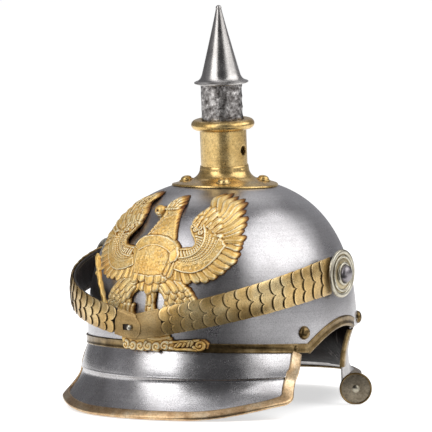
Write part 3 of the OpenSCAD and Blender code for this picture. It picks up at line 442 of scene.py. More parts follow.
def domeAngle(y, z, out):
    return math.acos(clamp((h["midY"] - y) / ((h["halfL"] + out) * domeK(z, out)), -1, 1))


def domeTop(x, y, out):
    r = math.hypot(x / (h["halfW"] + out), (y - h["midY"]) / (h["halfL"] + out))
    return h["wide"] + (h["high"] + out) * (1 - min(1, r) ** h["power"]) ** (1 / h["power"])


def frontAt(x, z, out):
    k = domeK(z, out)
    left = max(0, k * k - (x / (h["halfW"] + out)) ** 2)
    return Vector((x, h["midY"] - (h["halfL"] + out) * math.sqrt(left), z))


# Making pieces
def finished(bm, name, body, mat, replaced=(), sharp=38, wall=0, rim=0, merge=True, dark=False):
    if merge:
        bmesh.ops.remove_doubles(bm, verts=bm.verts, dist=weld)
    bmesh.ops.recalc_face_normals(bm, faces=bm.faces)
    if wall:
        bmesh.ops.solidify(bm, geom=bm.faces[:], thickness=wall * 0.001)
        bmesh.ops.recalc_face_normals(bm, faces=bm.faces)
    if rim:
        bm.normal_update()
        edges = [e for e in bm.edges if len(e.link_faces) == 2 and e.calc_face_angle(0) > 1.0]
        bmesh.ops.bevel(bm, geom=edges, offset=rim * 0.001, offset_type="OFFSET", segments=2, profile=0.5,
                        affect="EDGES", material=-1)
    if dark:
        # Faces that look towards the middle of the helmet
        middle = world3((0, h["midY"], h["wide"] + 0.5))
        for f in bm.faces:
            away = (f.calc_center_median() - middle).normalized()
            f.material_index = 1 if f.normal.dot(away) < -0.15 else 0
    for v in bm.verts:
        v.co.z = max(0, v.co.z)
    mesh = bpy.data.meshes.new(name)
    bm.to_mesh(mesh)
    bm.free()
    mesh.polygons.foreach_set("use_smooth", [True] * len(mesh.polygons))
    mesh.set_sharp_from_angle(angle=math.radians(sharp))
    obj = bpy.data.objects.new(name, mesh)
    bpy.context.scene.collection.objects.link(obj)
    mesh.materials.append(mats[mat])
    if dark:
        mesh.materials.append(mats["inside"])
    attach(obj, body)
    if replaced:
        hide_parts(*replaced)
    return obj


def gridOn(bm, cols, rows, at):
    # A grid bent by a placing function of two shares from 0 to 1; gives its vertices
    made = bmesh.ops.create_grid(bm, x_segments=cols, y_segments=rows, size=0.5)["verts"]
    for v in made:
        v.co = world3(at(v.co.x + 0.5, v.co.y + 0.5))
    return made


def spunOn(bm, profile, place, steps=96, turn=360):
    # A profile of (radius, height) spun about the local Z axis of a placing matrix
    before = set(bm.verts)
    verts = [bm.verts.new((r, 0, z)) for r, z in profile]
    edges = [bm.edges.new(pair) for pair in zip(verts, verts[1:])]
    full = abs(turn - 360) < 0.01
    made = bmesh.ops.spin(bm, geom=verts + edges, cent=(0, 0, 0), axis=(0, 0, 1), angle=math.radians(turn),
                          steps=steps, use_merge=full, use_duplicate=False)
    for v in bm.verts:
        if v not in before:
            v.co = world3(place @ v.co)
    return made


def curved(points, per=5):
    # A smooth line through the points
    line = []
    for i in range(len(points) - 1):
        a, b, c, d = [Vector(points[clamp(i + k, 0, len(points) - 1)]) for k in (-1, 0, 1, 2)]
        for k in range(per):
            t = k / per
            bend, twist = 2 * a - 5 * b + 4 * c - d, 3 * b - a - 3 * c + d
            line.append(0.5 * (2 * b + (c - a) * t + bend * t * t + twist * t ** 3))
    return line + [Vector(points[-1])]


def slopes(surface, u, s, step=0.002):
    # How the surface runs across and down at a place, each over twice the step
    return surface(u + step, s) - surface(u - step, s), surface(u, s + step) - surface(u, s - step)


def normalOf(surface, u, s):
    across, down = slopes(surface, u, s)
    return down.cross(across).normalized()


def stripOn(bm, surface, path, profile, inward, flip=1, widen=lambda u, s: 1.0):
    # A strip along a path on a surface. Each profile point is (in from the path, out
    # from the surface); inward says where the path's inside lies, as (across, down)
    step = 0.002
    stations = []
    for i, (u, s) in enumerate(path):
        pu, ps = (slope / (2 * step) for slope in slopes(surface, u, s, step))
        n = ps.cross(pu).normalized() * flip
        a, b = path[max(0, i - 1)], path[min(len(path) - 1, i + 1)]
        along = (pu * (b[0] - a[0]) + ps * (b[1] - a[1])).normalized()
        side = n.cross(along)
        hint = pu * inward(u, s)[0] + ps * inward(u, s)[1]
        side = side if side.dot(hint) > 0 else -side
        uu, us, ss, au, bs = pu.dot(pu), pu.dot(ps), ps.dot(ps), side.dot(pu), side.dot(ps)
        det = uu * ss - us * us
        stations.append((u, s, (au * ss - bs * us) / det, (bs * uu - au * us) / det))
    n, m = len(path) - 1, len(profile)

    def at(x, y):
        u, s, du, ds = stations[round(x * n)]
        inside, out = profile[round(y * m) % m]
        inside *= widen(u, s)
        u, s = u + inside * du, s + inside * ds
        return surface(u, s) + normalOf(surface, u, s) * flip * out
    gridOn(bm, n, m, at)


def endCaps(bm):
    bmesh.ops.remove_doubles(bm, verts=bm.verts, dist=weld)
    bmesh.ops.holes_fill(bm, edges=[e for e in bm.edges if e.is_boundary], sides=60)


# Skull: one bowl with an arch over each ear and the vent hole in its crown
skull = dict(ear=73, earTop=75.7, bandZ=54.9, slope=6.7, rear=62, guardY=26.3, vent=15, rows=54,
             flankRows=10, flank=4, crownShare=0.7, frontCols=44, earCols=24, rearCols=36, step=0.04,
             wave=0.12)
slopeTan = math.tan(math.radians(skull["slope"]))
earY = domeAt(math.radians(skull["ear"]), h["wide"], 0).y


def bandTop(y):
    return skull["bandZ"] - y * slopeTan


def earZ(y):
    return skull["earTop"] - (skull["earTop"] - bandTop(earY)) * (y / earY) ** 2


archEnd = math.degrees(domeAngle(skull["guardY"], h["wide"], 0))


def skullEdge(a):
    b = 360 - a if a > 180 else a
    y = domeAt(math.radians(b), h["wide"], 0).y
    if b <= skull["ear"]:
        return bandTop(y) - h["bandW"] / 2
    return earZ(y) - h["bandW"] if b <= archEnd else skull["rear"] - (y - skull["guardY"]) * leanTan


def spaced(start, stop, count):
    return [start + (stop - start) * k / count for k in range(count + 1)]


ear, step = skull["ear"], skull["step"]
halfTurn = [ear * k / skull["frontCols"] for k in range(skull["frontCols"] + 1)]
halfTurn += [ear + step + (archEnd - ear - step) * k / skull["earCols"] for k in range(skull["earCols"] + 1)]
halfTurn += [archEnd + step + (180 - archEnd - step) * k / skull["rearCols"]
             for k in range(skull["rearCols"] + 1)]
turns = halfTurn + [360 - a for a in reversed(halfTurn[:-1])]


def skullAt(x, y):
    a = turns[round(x * (len(turns) - 1))]
    r, j = math.radians(a), round(y * skull["rows"])
    flank, share = skull["earTop"] + skull["flank"], skull["crownShare"]
    if j <= skull["flankRows"]:
        edge = skullEdge(a)
        p = domeAt(r, edge + (flank - edge) * j / skull["flankRows"], 0)
    else:
        q = (j - skull["flankRows"]) / (skull["rows"] - skull["flankRows"])
        top = h["wide"] + h["high"] - flank
        p = domeAt(r, flank + top * math.sin(math.pi / 2 * min(q, share)), 0)
        if q > share:
            rim = Vector((skull["vent"] * math.sin(r), -skull["vent"] * math.cos(r), 0))
            flat = p.lerp(rim, (q - share) / (1 - share))
            p = Vector((flat.x, flat.y, domeTop(flat.x, flat.y, 0)))
    push = skull["wave"] * noise.noise(p * 0.022)
    return p + Vector((p.x, p.y - h["midY"], max(0, p.z - h["wide"]))).normalized() * push


bm = bmesh.new()
gridOn(bm, len(turns) - 1, skull["rows"], skullAt)
finished(bm, "skull_bowl", "helmet_shell", "polished", ["skull"], wall=h["steel"],
         rim=0.25, dark=True)
print("skull")


# Visor: a rounded upper part, a crisp ridge and a hollow flare, with rounded corners
visor = dict(ridgeZ=32, ridgeOut=6.1, out=26.3, side=22.6, angle=57.5, rise=14, bend=6.6, tuckS=0.12,
             ridgeS=0.45, corner=6.5, bead=0.25, beadW=0.008, dip=1.5, cols=150, rows=90)
visorLift = h["brass"] + h["gap"] + 0.75 * h["steel"]


def visorRaw(u, s):
    turn = u * (skull["ear"] - 3.5 + (visor["angle"] - skull["ear"] + 3.5) * s)
    a = math.radians(turn)
    reach = visor["out"] + (visor["side"] - visor["out"]) * math.sin(a) ** 2 - visorLift
    tuck, ridge = visor["tuckS"], visor["ridgeS"]
    if s <= tuck:
        off = 0
    elif s <= ridge:
        t = (s - tuck) / (ridge - tuck)
        off = visor["ridgeOut"] * (0.45 * t + 0.55 * math.sin(math.pi / 2 * t))
    else:
        q = (s - ridge) / (1 - ridge)
        dip = visor["dip"] * (1 - math.exp(-q / 0.07)) * (1 - q) ** 2
        off = visor["ridgeOut"] + (reach - visor["ridgeOut"]) * q ** 1.7 - dip
    x = (h["halfW"] + off) * math.sin(a)
    y = h["midY"] - (h["halfL"] + off) * math.cos(a)
    mid = bandTop(domeAt(a, h["wide"], 0).y) - h["bandW"] / 2 - 0.1
    low, table = mid - h["bandW"] / 2, tableZ(y)
    lift = (visor["rise"] - (visor["bend"] if turn < 0 else 0)) * smooth((abs(turn) - 20) / 50)
    ridgeZ, rimZ = visor["ridgeZ"] + table, visorLift + lift + table
    if s <= tuck:
        z = mid + (low - mid) * s / tuck
    elif s <= ridge:
        z = low + (ridgeZ - low) * (s - tuck) / (ridge - tuck)
    else:
        z = ridgeZ + (rimZ - ridgeZ) * (s - ridge) / (1 - ridge)
    return Vector((x, y, z))


cornerSpan = []
for side in (-1, 1):
    acrossMm = (visorRaw(side, 1) - visorRaw(side - 0.004 * side, 1)).length / 0.004
    downMm = (visorRaw(side, 1) - visorRaw(side, 0.996)).length / 0.004
    cornerSpan.append((visor["corner"] / acrossMm, visor["corner"] / downMm))


def visorWidth(side, s):
    across, down = cornerSpan[0 if side < 0 else 1]
    q = max(0, (s - (1 - down)) / down)
    return 1 - across * (1 - math.sqrt(max(0, 1 - q * q)))


def visorAt(x, y):
    u, s = 2 * x - 1, y
    p = visorRaw(u * visorWidth(u, s), s)
    bead = visor["bead"] * math.exp(-((s - visor["ridgeS"]) / visor["beadW"]) ** 2)
    dent = 0.25 * noise.noise(p * 0.03) * smooth(s * 3)
    out = Vector((p.x, p.y - h["midY"], 0)).normalized()
    return p + out * (bead + dent)


bm = bmesh.new()
gridOn(bm, visor["cols"], visor["rows"], visorAt)
finished(bm, "visor_plate", "helmet_shell", "visor", ["front_visor"], wall=h["steel"],
         rim=0.2, dark=True)


def foldProfile(width, lip=0.5, nose=7, channel=0.0):
    # A strip folded round an edge, with a rounded nose; a channel lowers its middle
    gap, brass = h["gap"], h["brass"]
    o, i = gap + brass, -h["steel"] - gap - brass
    rim = [(width, 0.08), (width, lip), (width - 0.35, o - 0.12), (width - 0.9, o)]
    if channel:
        rim += [(width - 1.7, o), (width - 2.1, o - channel), (1.9, o - channel), (1.5, o)]
    rim += [(0.6, o)]
    for k in range(1, nose):
        t = math.pi * k / nose
        rim.append((0.4 - (o + 0.4) * math.sin(t), (o + i) / 2 + (o - i) / 2 * math.cos(t)))
    back = i + brass
    return rim + [(0.4, i), (3.6, i), (4, i + 0.3), (4, back), (0, back), (-0.25, back + 0.2), (-0.25, 0),
                  (0, gap)]


def visorPath():
    left, right = [], []
    for side, path in ((1, left), (-1, right)):
        across, down = cornerSpan[0 if side < 0 else 1]
        s0, s1 = visor["tuckS"] + 0.015, 1 - down
        path += [(side, s) for s in spaced(s0, s1, 26)]
        for t in spaced(0, math.pi / 2, 9)[1:]:
            path.append((side * (1 - across + across * math.cos(t)), s1 + down * math.sin(t)))
    a, b = left[-1][0], right[-1][0]
    rim = [(u, 1) for u in spaced(a, b, 110)[1:-1]]
    return left + rim + right[::-1]


def visorSoft(u, s):
    total = Vector((0, 0, 0))
    for k in range(-4, 5):
        total += visorRaw(u, s + 0.028 * k) * (5 - abs(k)) / 25
    return total


bm = bmesh.new()
stripOn(bm, visorSoft, visorPath(), foldProfile(h["trimW"]), lambda u, s: (-u, 0.3 - s),
        widen=lambda u, s: 1 + 0.3 * smooth((abs(u) - 0.85) * 7))
endCaps(bm)
finished(bm, "visor_edging", "helmet_shell", "trim", ["visor_trim"], sharp=50)


# Brow band with rolled edges, and the folded strips over the ears
def onDome(u, s):
    return domeAt(u, s, 0)


def bandCurve(a):
    return (a, bandTop(domeAt(a, h["wide"], 0).y))


bandEnd = math.radians(skull["ear"] - 0.4)
w = h["bandW"]
bandProfile = [(0, 0.1), (-0.1, 0.7), (0.1, 1.35), (0.5, 1.65), (0.95, 1.6), (1.4, 1.3), (1.8, 0.95),
               (w - 1.6, 0.95), (w - 1.2, 1.25), (w - 0.5, 1.3), (w - 0.1, 0.9), (w, 0.1)]
bm = bmesh.new()
bandLine = [bandCurve(bandEnd * (2 * k / 130 - 1)) for k in range(131)]
stripOn(bm, onDome, bandLine, bandProfile, lambda u, s: (0, -1), flip=-1)
endCaps(bm)
finished(bm, "brow_strip", "helmet_shell", "band", ["brow_band"], sharp=50)


def earPath(side):
    path = []
    for y in spaced(earY, skull["guardY"], 48):
        path.append((side * domeAngle(y, h["wide"], 0), earZ(y) - h["bandW"]))
    return path


for side, name in ((1, "left"), (-1, "right")):
    bm = bmesh.new()
    stripOn(bm, onDome, earPath(side), foldProfile(h["bandW"], channel=0.3), lambda u, s: (0, 1), flip=-1)
    endCaps(bm)
    finished(bm, "ear_strip_" + name, "helmet_shell", "band", ["ear_trim_" + name], sharp=50)

# Neck guard: tucked inside the skull, drawn in and then flared to its rim
guard = dict(y=26.3, rear=62, tuck=11.3, waist=9.9, out=44, rimZ=15, lobe=26.4, lobeTurn=31, tuckS=0.2,
             top=-h["steel"] - 0.6, cols=150, rows=70)


def guardAt(f, s):
    q = (s - guard["tuckS"]) / (1 - guard["tuckS"])
    r = max(0, q)
    rear = h["halfL"] + guard["top"] - 3 * math.sin(math.pi * min(1, r / 0.6))
    side = h["halfW"] + guard["top"] - guard["waist"] * math.sin(math.pi / 2 * min(1, r / 0.8))
    start = math.acos((h["midY"] - guard["y"]) / rear)
    a = start + (2 * math.pi - 2 * start) * f
    flare = (guard["out"] + h["steel"]) * r ** 3.4 * abs(min(0, math.cos(a))) ** 5
    x, y = (side + flare) * math.sin(a), h["midY"] - (rear + flare) * math.cos(a)
    top = guard["rear"] - (y - guard["y"]) * leanTan
    rim = guard["rimZ"] + h["brass"] + h["gap"] + tableZ(y)
    return Vector((x, y, top + guard["tuck"] * (1 - s / guard["tuckS"]) if q <= 0 else top + (rim - top) * q))


guardEdge = guardAt(0, 0.97)


def lobePlace(side):
    lobeR = guard["lobe"] / 2 - h["brass"]
    place = Matrix.Translation((guardEdge.x, guard["y"], tableZ(guard["y"]) + guard["lobe"] / 2 - 0.4))
    place = place @ Matrix.Rotation(math.radians(-h["lean"]), 4, "X")
    place = place @ Matrix.Rotation(math.radians(guard["lobeTurn"]), 4, "Z")
    place = place @ Matrix.Translation((lobeR - 2, 0, 0)) @ Matrix.Rotation(math.radians(90), 4, "X")
    return Matrix.Diagonal((side, 1, 1, 1)) @ place, lobeR


bm = bmesh.new()
gridOn(bm, guard["cols"], guard["rows"], guardAt)
finished(bm, "guard_plate", "helmet_shell", "guard", ["neck_guard"], wall=h["steel"],
         rim=0.2, dark=True)
bm = bmesh.new()
for side in (1, -1):
    place, lobeR = lobePlace(side)
    t = h["steel"] / 2
    disc = [(0, t + 0.5), (4, t + 0.48), (8, t + 0.3), (lobeR - 1.5, t), (lobeR, t - 0.1)]
    spunOn(bm, disc + [(r, -z) for r, z in reversed(disc)], place, 72)
finished(bm, "guard_corners", "helmet_shell", "bronze", sharp=50)
bm = bmesh.new()
stripOn(bm, guardAt, [(f, 1) for f in spaced(0.1, 0.9, 120)], foldProfile(h["trimW"]), lambda u, s: (0, -1))
endCaps(bm)
for f in (0, 1):
    stripOn(bm, guardAt, [(f, s) for s in spaced(0.23, 0.76, 40)], foldProfile(h["trimW"]),
            lambda u, s: (0.5 - u, 0))
    endCaps(bm)
for side in (1, -1):
    place, lobeR = lobePlace(side)
    t, c = h["steel"] / 2 + h["brass"], lobeR + 0.05
    ring = [(c - 0.6, t - 0.5)]
    ring += [(c + 0.95 * math.sin(math.pi * k / 10), t * math.cos(math.pi * k / 10)) for k in range(11)]
    spunOn(bm, ring + [(c - 0.6, -t + 0.5), (c - 0.6, t - 0.5)], place, 72)
finished(bm, "guard_edging", "helmet_shell", "band", ["neck_guard_trim"], sharp=50)
print("visor, band and neck guard")


# Rivets and studs: domes on a thin seat
def onSide(side, y, z, out):
    a = domeAngle(y, z, 0)
    p = domeAt(a, z, out)
    q = domeAt(a, z, 0) - domeAt(a, z + 1, 0)
    turn = math.atan2(-h["halfW"] * math.cos(a), h["halfL"] * math.sin(a))
    tilt = math.pi / 2 - math.atan(math.hypot(q.x, q.y))
    place = Matrix.Translation(p) @ Matrix.Rotation(turn, 4, "Z") @ Matrix.Rotation(tilt, 4, "Y")
    return Matrix.Diagonal((side, 1, 1, 1)) @ place


def domeProfile(d, high, seat=0.0, base=0.0):
    # A dome of a diameter and height on an optional seat, closed underneath
    r = d / 2
    line = [(0, high)]
    for t in spaced(0, math.pi / 2, 10)[1:]:
        line.append((r * math.sin(t), base + (high - base) * math.cos(t) ** 0.9))
    if seat:
        line += [(r + 0.15, base), (r + seat, base * 0.85), (r + seat + 0.1, 0)]
    return line + [(r * 0.6, 0), (0, 0)]


rivets = dict(size=(10.2, 3.8, 0.4, 0.5), visor=(-50.8, 69.6), guard=(51.7, 66.3), bandSize=(3.6, 1.1),
              cornerSize=(5.6, 1.6, 0.3, 0.25))
for name, node in (("visor", "visor_rivets"), ("guard", "neck_guard_rivets")):
    bm = bmesh.new()
    for side in (1, -1):
        spunOn(bm, domeProfile(*rivets["size"]), onSide(side, *rivets[name], 0.1), 40)
    finished(bm, node + "_heads", "helmet_shell", "band", [node], sharp=60)
bm = bmesh.new()
for side in (1, -1):
    y = domeAt(math.radians(skull["ear"] - 7), h["wide"], 0).y
    spunOn(bm, domeProfile(*rivets["bandSize"]),
           onSide(side, y, bandTop(y) - h["bandW"] / 2, bandOut - 0.15), 24)
finished(bm, "band_rivet_heads", "helmet_shell", "band", ["band_rivets"], sharp=60)
bm = bmesh.new()
for side in (1, -1):
    place, lobeR = lobePlace(side)
    for flip in (1, -1):
        face = place @ Matrix.Diagonal((1, 1, flip, 1)) @ Matrix.Translation((0, 0, h["steel"] / 2 + 0.45))
        spunOn(bm, domeProfile(*rivets["cornerSize"]), face, 32)
finished(bm, "corner_rivet_heads", "helmet_shell", "pale", ["lobe_rivets"], sharp=60)
print("rivets")


# Spike base: a plate that follows the crown, a bead over its fillet and the neck tube
base = dict(neckR=19, wall=1.5, plateR=43.25, plateT=1.2, out=0.4, neckH=45.1, collarR=25.85, bead=8.5,
            ventR=4, ventUp=24, cols=288, filletH=8, filletR=10.5, beadTop=11.8, studR=31, studTurn=-61)
crown = domeTop(0, 0, 0)
collarZ = crown + base["neckH"]
neckTop = collarZ - base["bead"] / 2 - 0.1


def onCrown(r, a, z):
    return Vector((r * math.sin(a), -r * math.cos(a), z))


def footLoop():
    # The base plate's section from the bead outwards and back underneath, as (follows the
    # crown, radius, height)
    r, edge, up, top = base["neckR"], base["plateR"], base["out"] + base["plateT"], base["beadTop"]
    bead = ((0.1, 0.25), (0.5, 0.3), (0.7, 0.7), (0.85, 1.6), (1.0, 2.8))
    points = [(False, r + out, top - down) for out, down in bead]
    for t in spaced(0, math.pi / 2, 12):
        fillet = base["filletR"] - 1.1
        points.append((True, r + 1.1 + fillet * (1 - math.cos(t)),
                       up + base["filletH"] * (1 - math.sin(t))))
    points += [(True, flat, up) for flat in spaced(r + base["filletR"], edge - 1.6, 8)[1:]]
    rim = ((-1.1, up + 0.12), (-0.4, up + 0.1), (0, up - 0.25), (0.1, 0.5), (-0.3, 0.15))
    points += [(True, edge + out, z) for out, z in rim]
    inside = r - base["wall"]
    points += [(True, under, 0.2) for under in spaced(edge, inside, 6)[1:5]]
    return points + [(False, inside, 1.5), (False, inside, top - 0.7)]


foot = footLoop()


def footAt(x, y):
    onDomeTop, r, z = foot[round(y * len(foot)) % len(foot)]
    p = onCrown(r, 2 * math.pi * x, 0)
    return p + Vector((0, 0, z + (domeTop(p.x, p.y, 0) if onDomeTop else crown)))


def ventHole(bm, radius, depth=12, reach=30, grip=2.5):
    # Opens a round hole through each side of the neck, with its rim drawn to a circle
    centre = Vector((0, 0, crown + base["ventUp"]))

    def fromCentre(p):
        q = toHelmet @ (p * 1000) - centre
        return q, math.hypot(q.y, q.z)
    gone = []
    for f in bm.faces:
        q, off = fromCentre(f.calc_center_median())
        if off < radius and abs(q.x) > depth and q.length < reach:
            gone.append(f)
    bmesh.ops.delete(bm, geom=gone, context="FACES")
    for v in bm.verts:
        q, off = fromCentre(v.co)
        if v.is_boundary and 0.1 < off < radius + grip and abs(q.x) > depth:
            v.co = world3(centre + Vector((q.x, q.y * radius / off, q.z * radius / off)))


def tubeAt(x, y):
    # The neck tube's outside, from under the collar down into the bead
    low = crown + base["beadTop"] - 0.6
    return onCrown(base["neckR"], 2 * math.pi * x, neckTop + (low - neckTop) * y)


bm = bmesh.new()
gridOn(bm, base["cols"], 35, tubeAt)
bmesh.ops.remove_doubles(bm, verts=bm.verts, dist=weld)
ventHole(bm, base["ventR"])
finished(bm, "neck_tube", "helmet_shell", "neck", ["spike_base"], wall=base["wall"], rim=0.15)
bm = bmesh.new()
gridOn(bm, 192, len(foot), footAt)
finished(bm, "base_plate", "helmet_shell", "neck", sharp=50)

upright = Matrix.Identity(4)
bm = bmesh.new()
r, b, inner = base["collarR"], base["bead"] / 2, base["neckR"] - base["wall"]
ring = [(r - b + b * math.sin(t), collarZ + b * 0.96 * math.cos(t)) for t in spaced(0, math.pi, 16)]
ring = [(inner, collarZ + b - 0.5), (inner + 0.3, collarZ + b - 0.1), (inner + 1.2, collarZ + b)] + ring
ring += [(base["neckR"] + 0.1, collarZ - b), (inner, collarZ - b), (inner, collarZ + b - 0.5)]
spunOn(bm, ring, upright, 128)
finished(bm, "collar_bead", "helmet_shell", "neck", ["collar_ring"], sharp=50)


def studPlace(k):
    a = math.radians(base["studTurn"] + 90 * k)
    x, y = base["studR"] * math.cos(a), base["studR"] * math.sin(a)
    down = math.atan2((y - h["midY"]) / h["halfL"] ** 2, x / h["halfW"] ** 2)
    c, e = 0.5 * math.cos(down), 0.5 * math.sin(down)
    tilt = math.atan(domeTop(x - c, y - e, 0) - domeTop(x + c, y + e, 0))
    place = Matrix.Translation((x, y, domeTop(x, y, 0)))
    return place @ Matrix.Rotation(down, 4, "Z") @ Matrix.Rotation(tilt, 4, "Y")


studDome = [(0, 3.7)]
studDome += [(4.6 * math.sin(t), 0.9 + 2.8 * math.cos(t)) for t in spaced(0, math.pi / 2, 9)[1:]]
studDome += [(4.75, 0.75), (5.1, 0.8), (5.6, 0.75), (5.9, 0.4), (5.9, 0), (2, 0), (0, 0)]
seat = base["out"] + base["plateT"] + 0.1
shankEnd = -seat - h["steel"] - 4.1
bm = bmesh.new()
for k in range(4):
    place = studPlace(k) @ Matrix.Translation((0, 0, seat))
    spunOn(bm, studDome, place, 48)
    spunOn(bm, [(0, 0.2), (2, 0.2), (2, shankEnd), (0, shankEnd)], place, 24)
finished(bm, "stud_heads", "helmet_shell", "neck", ["base_studs"], sharp=60)

# Spike: a polished cone with a flared foot over its rolled, split sleeve
spike = dict(raised=29, high=64, flangeR=22.1, footR=15.2, footZ=9, knobR=2.55, knobH=4.6, sleeveT=1.2,
             slitTurn=25, slitW=6, pit=0.28)
collarTop = collarZ + base["bead"] / 2
flangeZ = collarTop + spike["raised"] + 0.1
tip, knobR, knobH, r = flangeZ + spike["high"], spike["knobR"], spike["knobH"], spike["flangeR"]
line = [(0, tip), (1.1, tip - 0.35), (1.9, tip - 1.0), (2.35, tip - 2.2), (2.3, tip - 3.4),
        (knobR, tip - knobH)]
for q in (0.1, 0.25, 0.4, 0.55, 0.7, 0.85, 1):
    fall = spike["high"] - knobH - spike["footZ"]
    line.append((knobR + (spike["footR"] - knobR) * q ** 1.04, tip - knobH - fall * q))
flange = ((6.0, 6.2), (4.8, 4.1), (2.9, 2.5), (0.9, 1.75), (0.1, 1.35))
line += [(r - inward, flangeZ + up) for inward, up in flange]
line = [tuple(p) for p in curved(line, 4)]
flange = ((0, 0.8), (0.3, 0.35), (0.9, 0.15), (3.1, 0.2), (5.3, 0.1), (r, 0.1))
line += [(r - inward, flangeZ + up) for inward, up in flange]
bm = bmesh.new()
spunOn(bm, line, upright, 144)
finished(bm, "spike_point", "spike", "spike", ["spike_cone"], sharp=55)

sleeveR = base["neckR"] - base["wall"] - 0.5
sleeveLow = collarTop - 13 - base["bead"] / 2
slit = math.degrees(spike["slitW"] / sleeveR) / 2


def sleeveAt(x, y):
    # The rolled sheet: ragged and a little curled along its slit, and pitted all over
    z = sleeveLow + (flangeZ + 0.05 - sleeveLow) * y
    ragged = noise.noise(Vector((0, 3 * (x > 0.5), z * 0.16))) * 1.7
    ragged += noise.noise(Vector((9, x, z * 0.5))) * 0.6
    ragged *= 1 - smooth(y * 8 - 7)
    sway = ragged * 2.4 * (math.exp(-x * 60) - math.exp((x - 1) * 60))
    a = math.radians(spike["slitTurn"] + slit + (360 - 2 * slit) * x + sway)
    p = Vector((math.cos(a), math.sin(a), 0))
    pits = noise.fractal(p * 5 + Vector((0, 0, z * 0.3)), 1.0, 2.0, 5) - 0.25
    deep = spike["pit"] * pits * (1 - smooth(y * 30 - 29))
    curl = 0.8 * math.exp(-min(x, 1 - x) * 40) * math.sin(z * 0.35) * smooth((z - collarTop) / 4)
    return p * (sleeveR + min(0, deep) - abs(curl)) + Vector((0, 0, z))


bm = bmesh.new()
gridOn(bm, 260, 130, sleeveAt)
finished(bm, "sleeve_tube", "spike", "worn", ["spike_sleeve"], wall=spike["sleeveT"],
         sharp=60)
print("spike")

# Chin strap: its run from the left pivot to the front and a little past it
strap = dict(pivotZ=111.9, pivotFwd=7.5, drop=28.2, wide=31, narrow=20.7, count=16, crown=1.5, t=0.7,
             leather=1.8, square=2.35, stand=13.3, slope=0.85, length=1.4, lobes=4.6, rosetteR=19.5,
             rosetteT=2.5, boss=4, stitch=3.4, steps=384, turn=120)
st = strap


def domeHalf(y, z):
    return h["halfW"] * domeK(z, 0) * math.sin(domeAngle(y, z, 0))


strapIn = domeHalf(-st["pivotFwd"], st["pivotZ"] - st["rosetteR"]) + 0.7
strapFwd = st["stand"] - frontAt(0, st["pivotZ"] - st["drop"], 0).y - st["pivotFwd"]


def runXY(k):
    # A place on the strap's run as seen from above, k steps from the left pivot
    turn, power = math.radians(90 - st["turn"] * k / st["steps"]), 2 / st["square"]
    x = strapIn * math.copysign(abs(math.sin(turn)) ** power, math.sin(turn))
    return Vector((x, -strapFwd * abs(math.cos(turn)) ** power))


runXYs = [runXY(k) for k in range(st["steps"] + 1)]
runSums = [0]
for a, b in zip(runXYs, runXYs[1:]):
    runSums.append(runSums[-1] + (b - a).length)
frontS = runSums[st["steps"] * 90 // st["turn"]]


def runAt(s):
    low, high = 0, st["steps"]
    while high - low > 1:
        mid = (low + high) // 2
        low, high = (mid, high) if runSums[mid] <= s else (low, mid)
    p = runXY(low + clamp((s - runSums[low]) / (runSums[low + 1] - runSums[low]), 0, 1))
    z = st["pivotZ"] - st["drop"] * min(1, max(0, s) / frontS) ** 1.6
    return Vector((p.x, p.y - st["pivotFwd"] + max(0, -s), z))


runFrames = {}


def runFrame(s):
    key = round(s, 3)
    if key not in runFrames:
        d = Vector((0, -1, 0)) if s < 1 else (runAt(s + 0.6) - runAt(s - 0.6)).normalized()
        out = Vector((-d.y, d.x, 0)).normalized()
        up = d.cross(out).normalized()
        runFrames[key] = (runAt(s), up if up.z > 0 else -up, out)
    return runFrames[key]


def onRun(s, up, out, side=1):
    p, u, o = runFrame(s)
    q = p + u * up + o * out
    return Vector((q.x * side, q.y, q.z))


def strapHalf(s):
    return (st["wide"] + (st["narrow"] - st["wide"]) * min(1, max(0, s) / frontS)) / 2


def scaleOn(bm, start, length, climb, side, seed, cusps):
    # A scale: domed lobes at the free end, two and three in turn, with a painted shadow line round their edge
    mark = bm.verts.layers.float["relief"]
    tint = 0.05 * noise.noise(Vector((seed * 1.7, 0.3, 0)))
    for v in bmesh.ops.create_grid(bm, x_segments=16 * cusps, y_segments=26, size=0.5)["verts"]:
        u, y = 2 * v.co.x, v.co.y + 0.5
        q = 1 - abs(2 * y - 1) ** 1.9
        w = (u + 1) / 2 * cusps
        lobe = 1 - math.sqrt(max(0, 1 - (2 * (w - min(cusps - 1, math.floor(w))) - 1) ** 2))
        shape = length - st["lobes"] * (1 if cusps == 2 else 0.7) * min(1, lobe)
        back = (1 - q) * shape
        s = start + shape * q
        bulge = 0.12 * (1 - lobe) * smooth(q * 1.6 - 0.3) + 0.1 * math.exp(-((back - 1.3) / 0.6) ** 2)
        wobble = 0.07 * noise.noise(Vector((seed * 3.1, u * 1.2, q * 2)))
        rise = st["leather"] + 0.1 + climb * shape * q + st["crown"] * (1 - u * u)
        out = rise + bulge + wobble - 0.25 * abs(u) ** 6
        face = st["t"] * 0.5 - 0.33 * (1 - smooth(back / 0.75))
        glint = 0.16 * math.exp(-((back - 1.4) / 0.5) ** 2)
        # Painted light: a shadow line along the free edge, a highlight just behind it, and the upper half
        # lighter than the lower; the tint is random tone
        v[mark] = 0.03 + (0.42 + tint + 0.1 * u) * smooth((back - 0.35) / 0.5) + glint
        rear = y > 0.5 and abs(u) < 0.999 and y < 0.999  # at the sides both faces meet
        v.co = world3(onRun(s, u * strapHalf(s), out + st["t"] * 0.5 + (-face if rear else face), side))


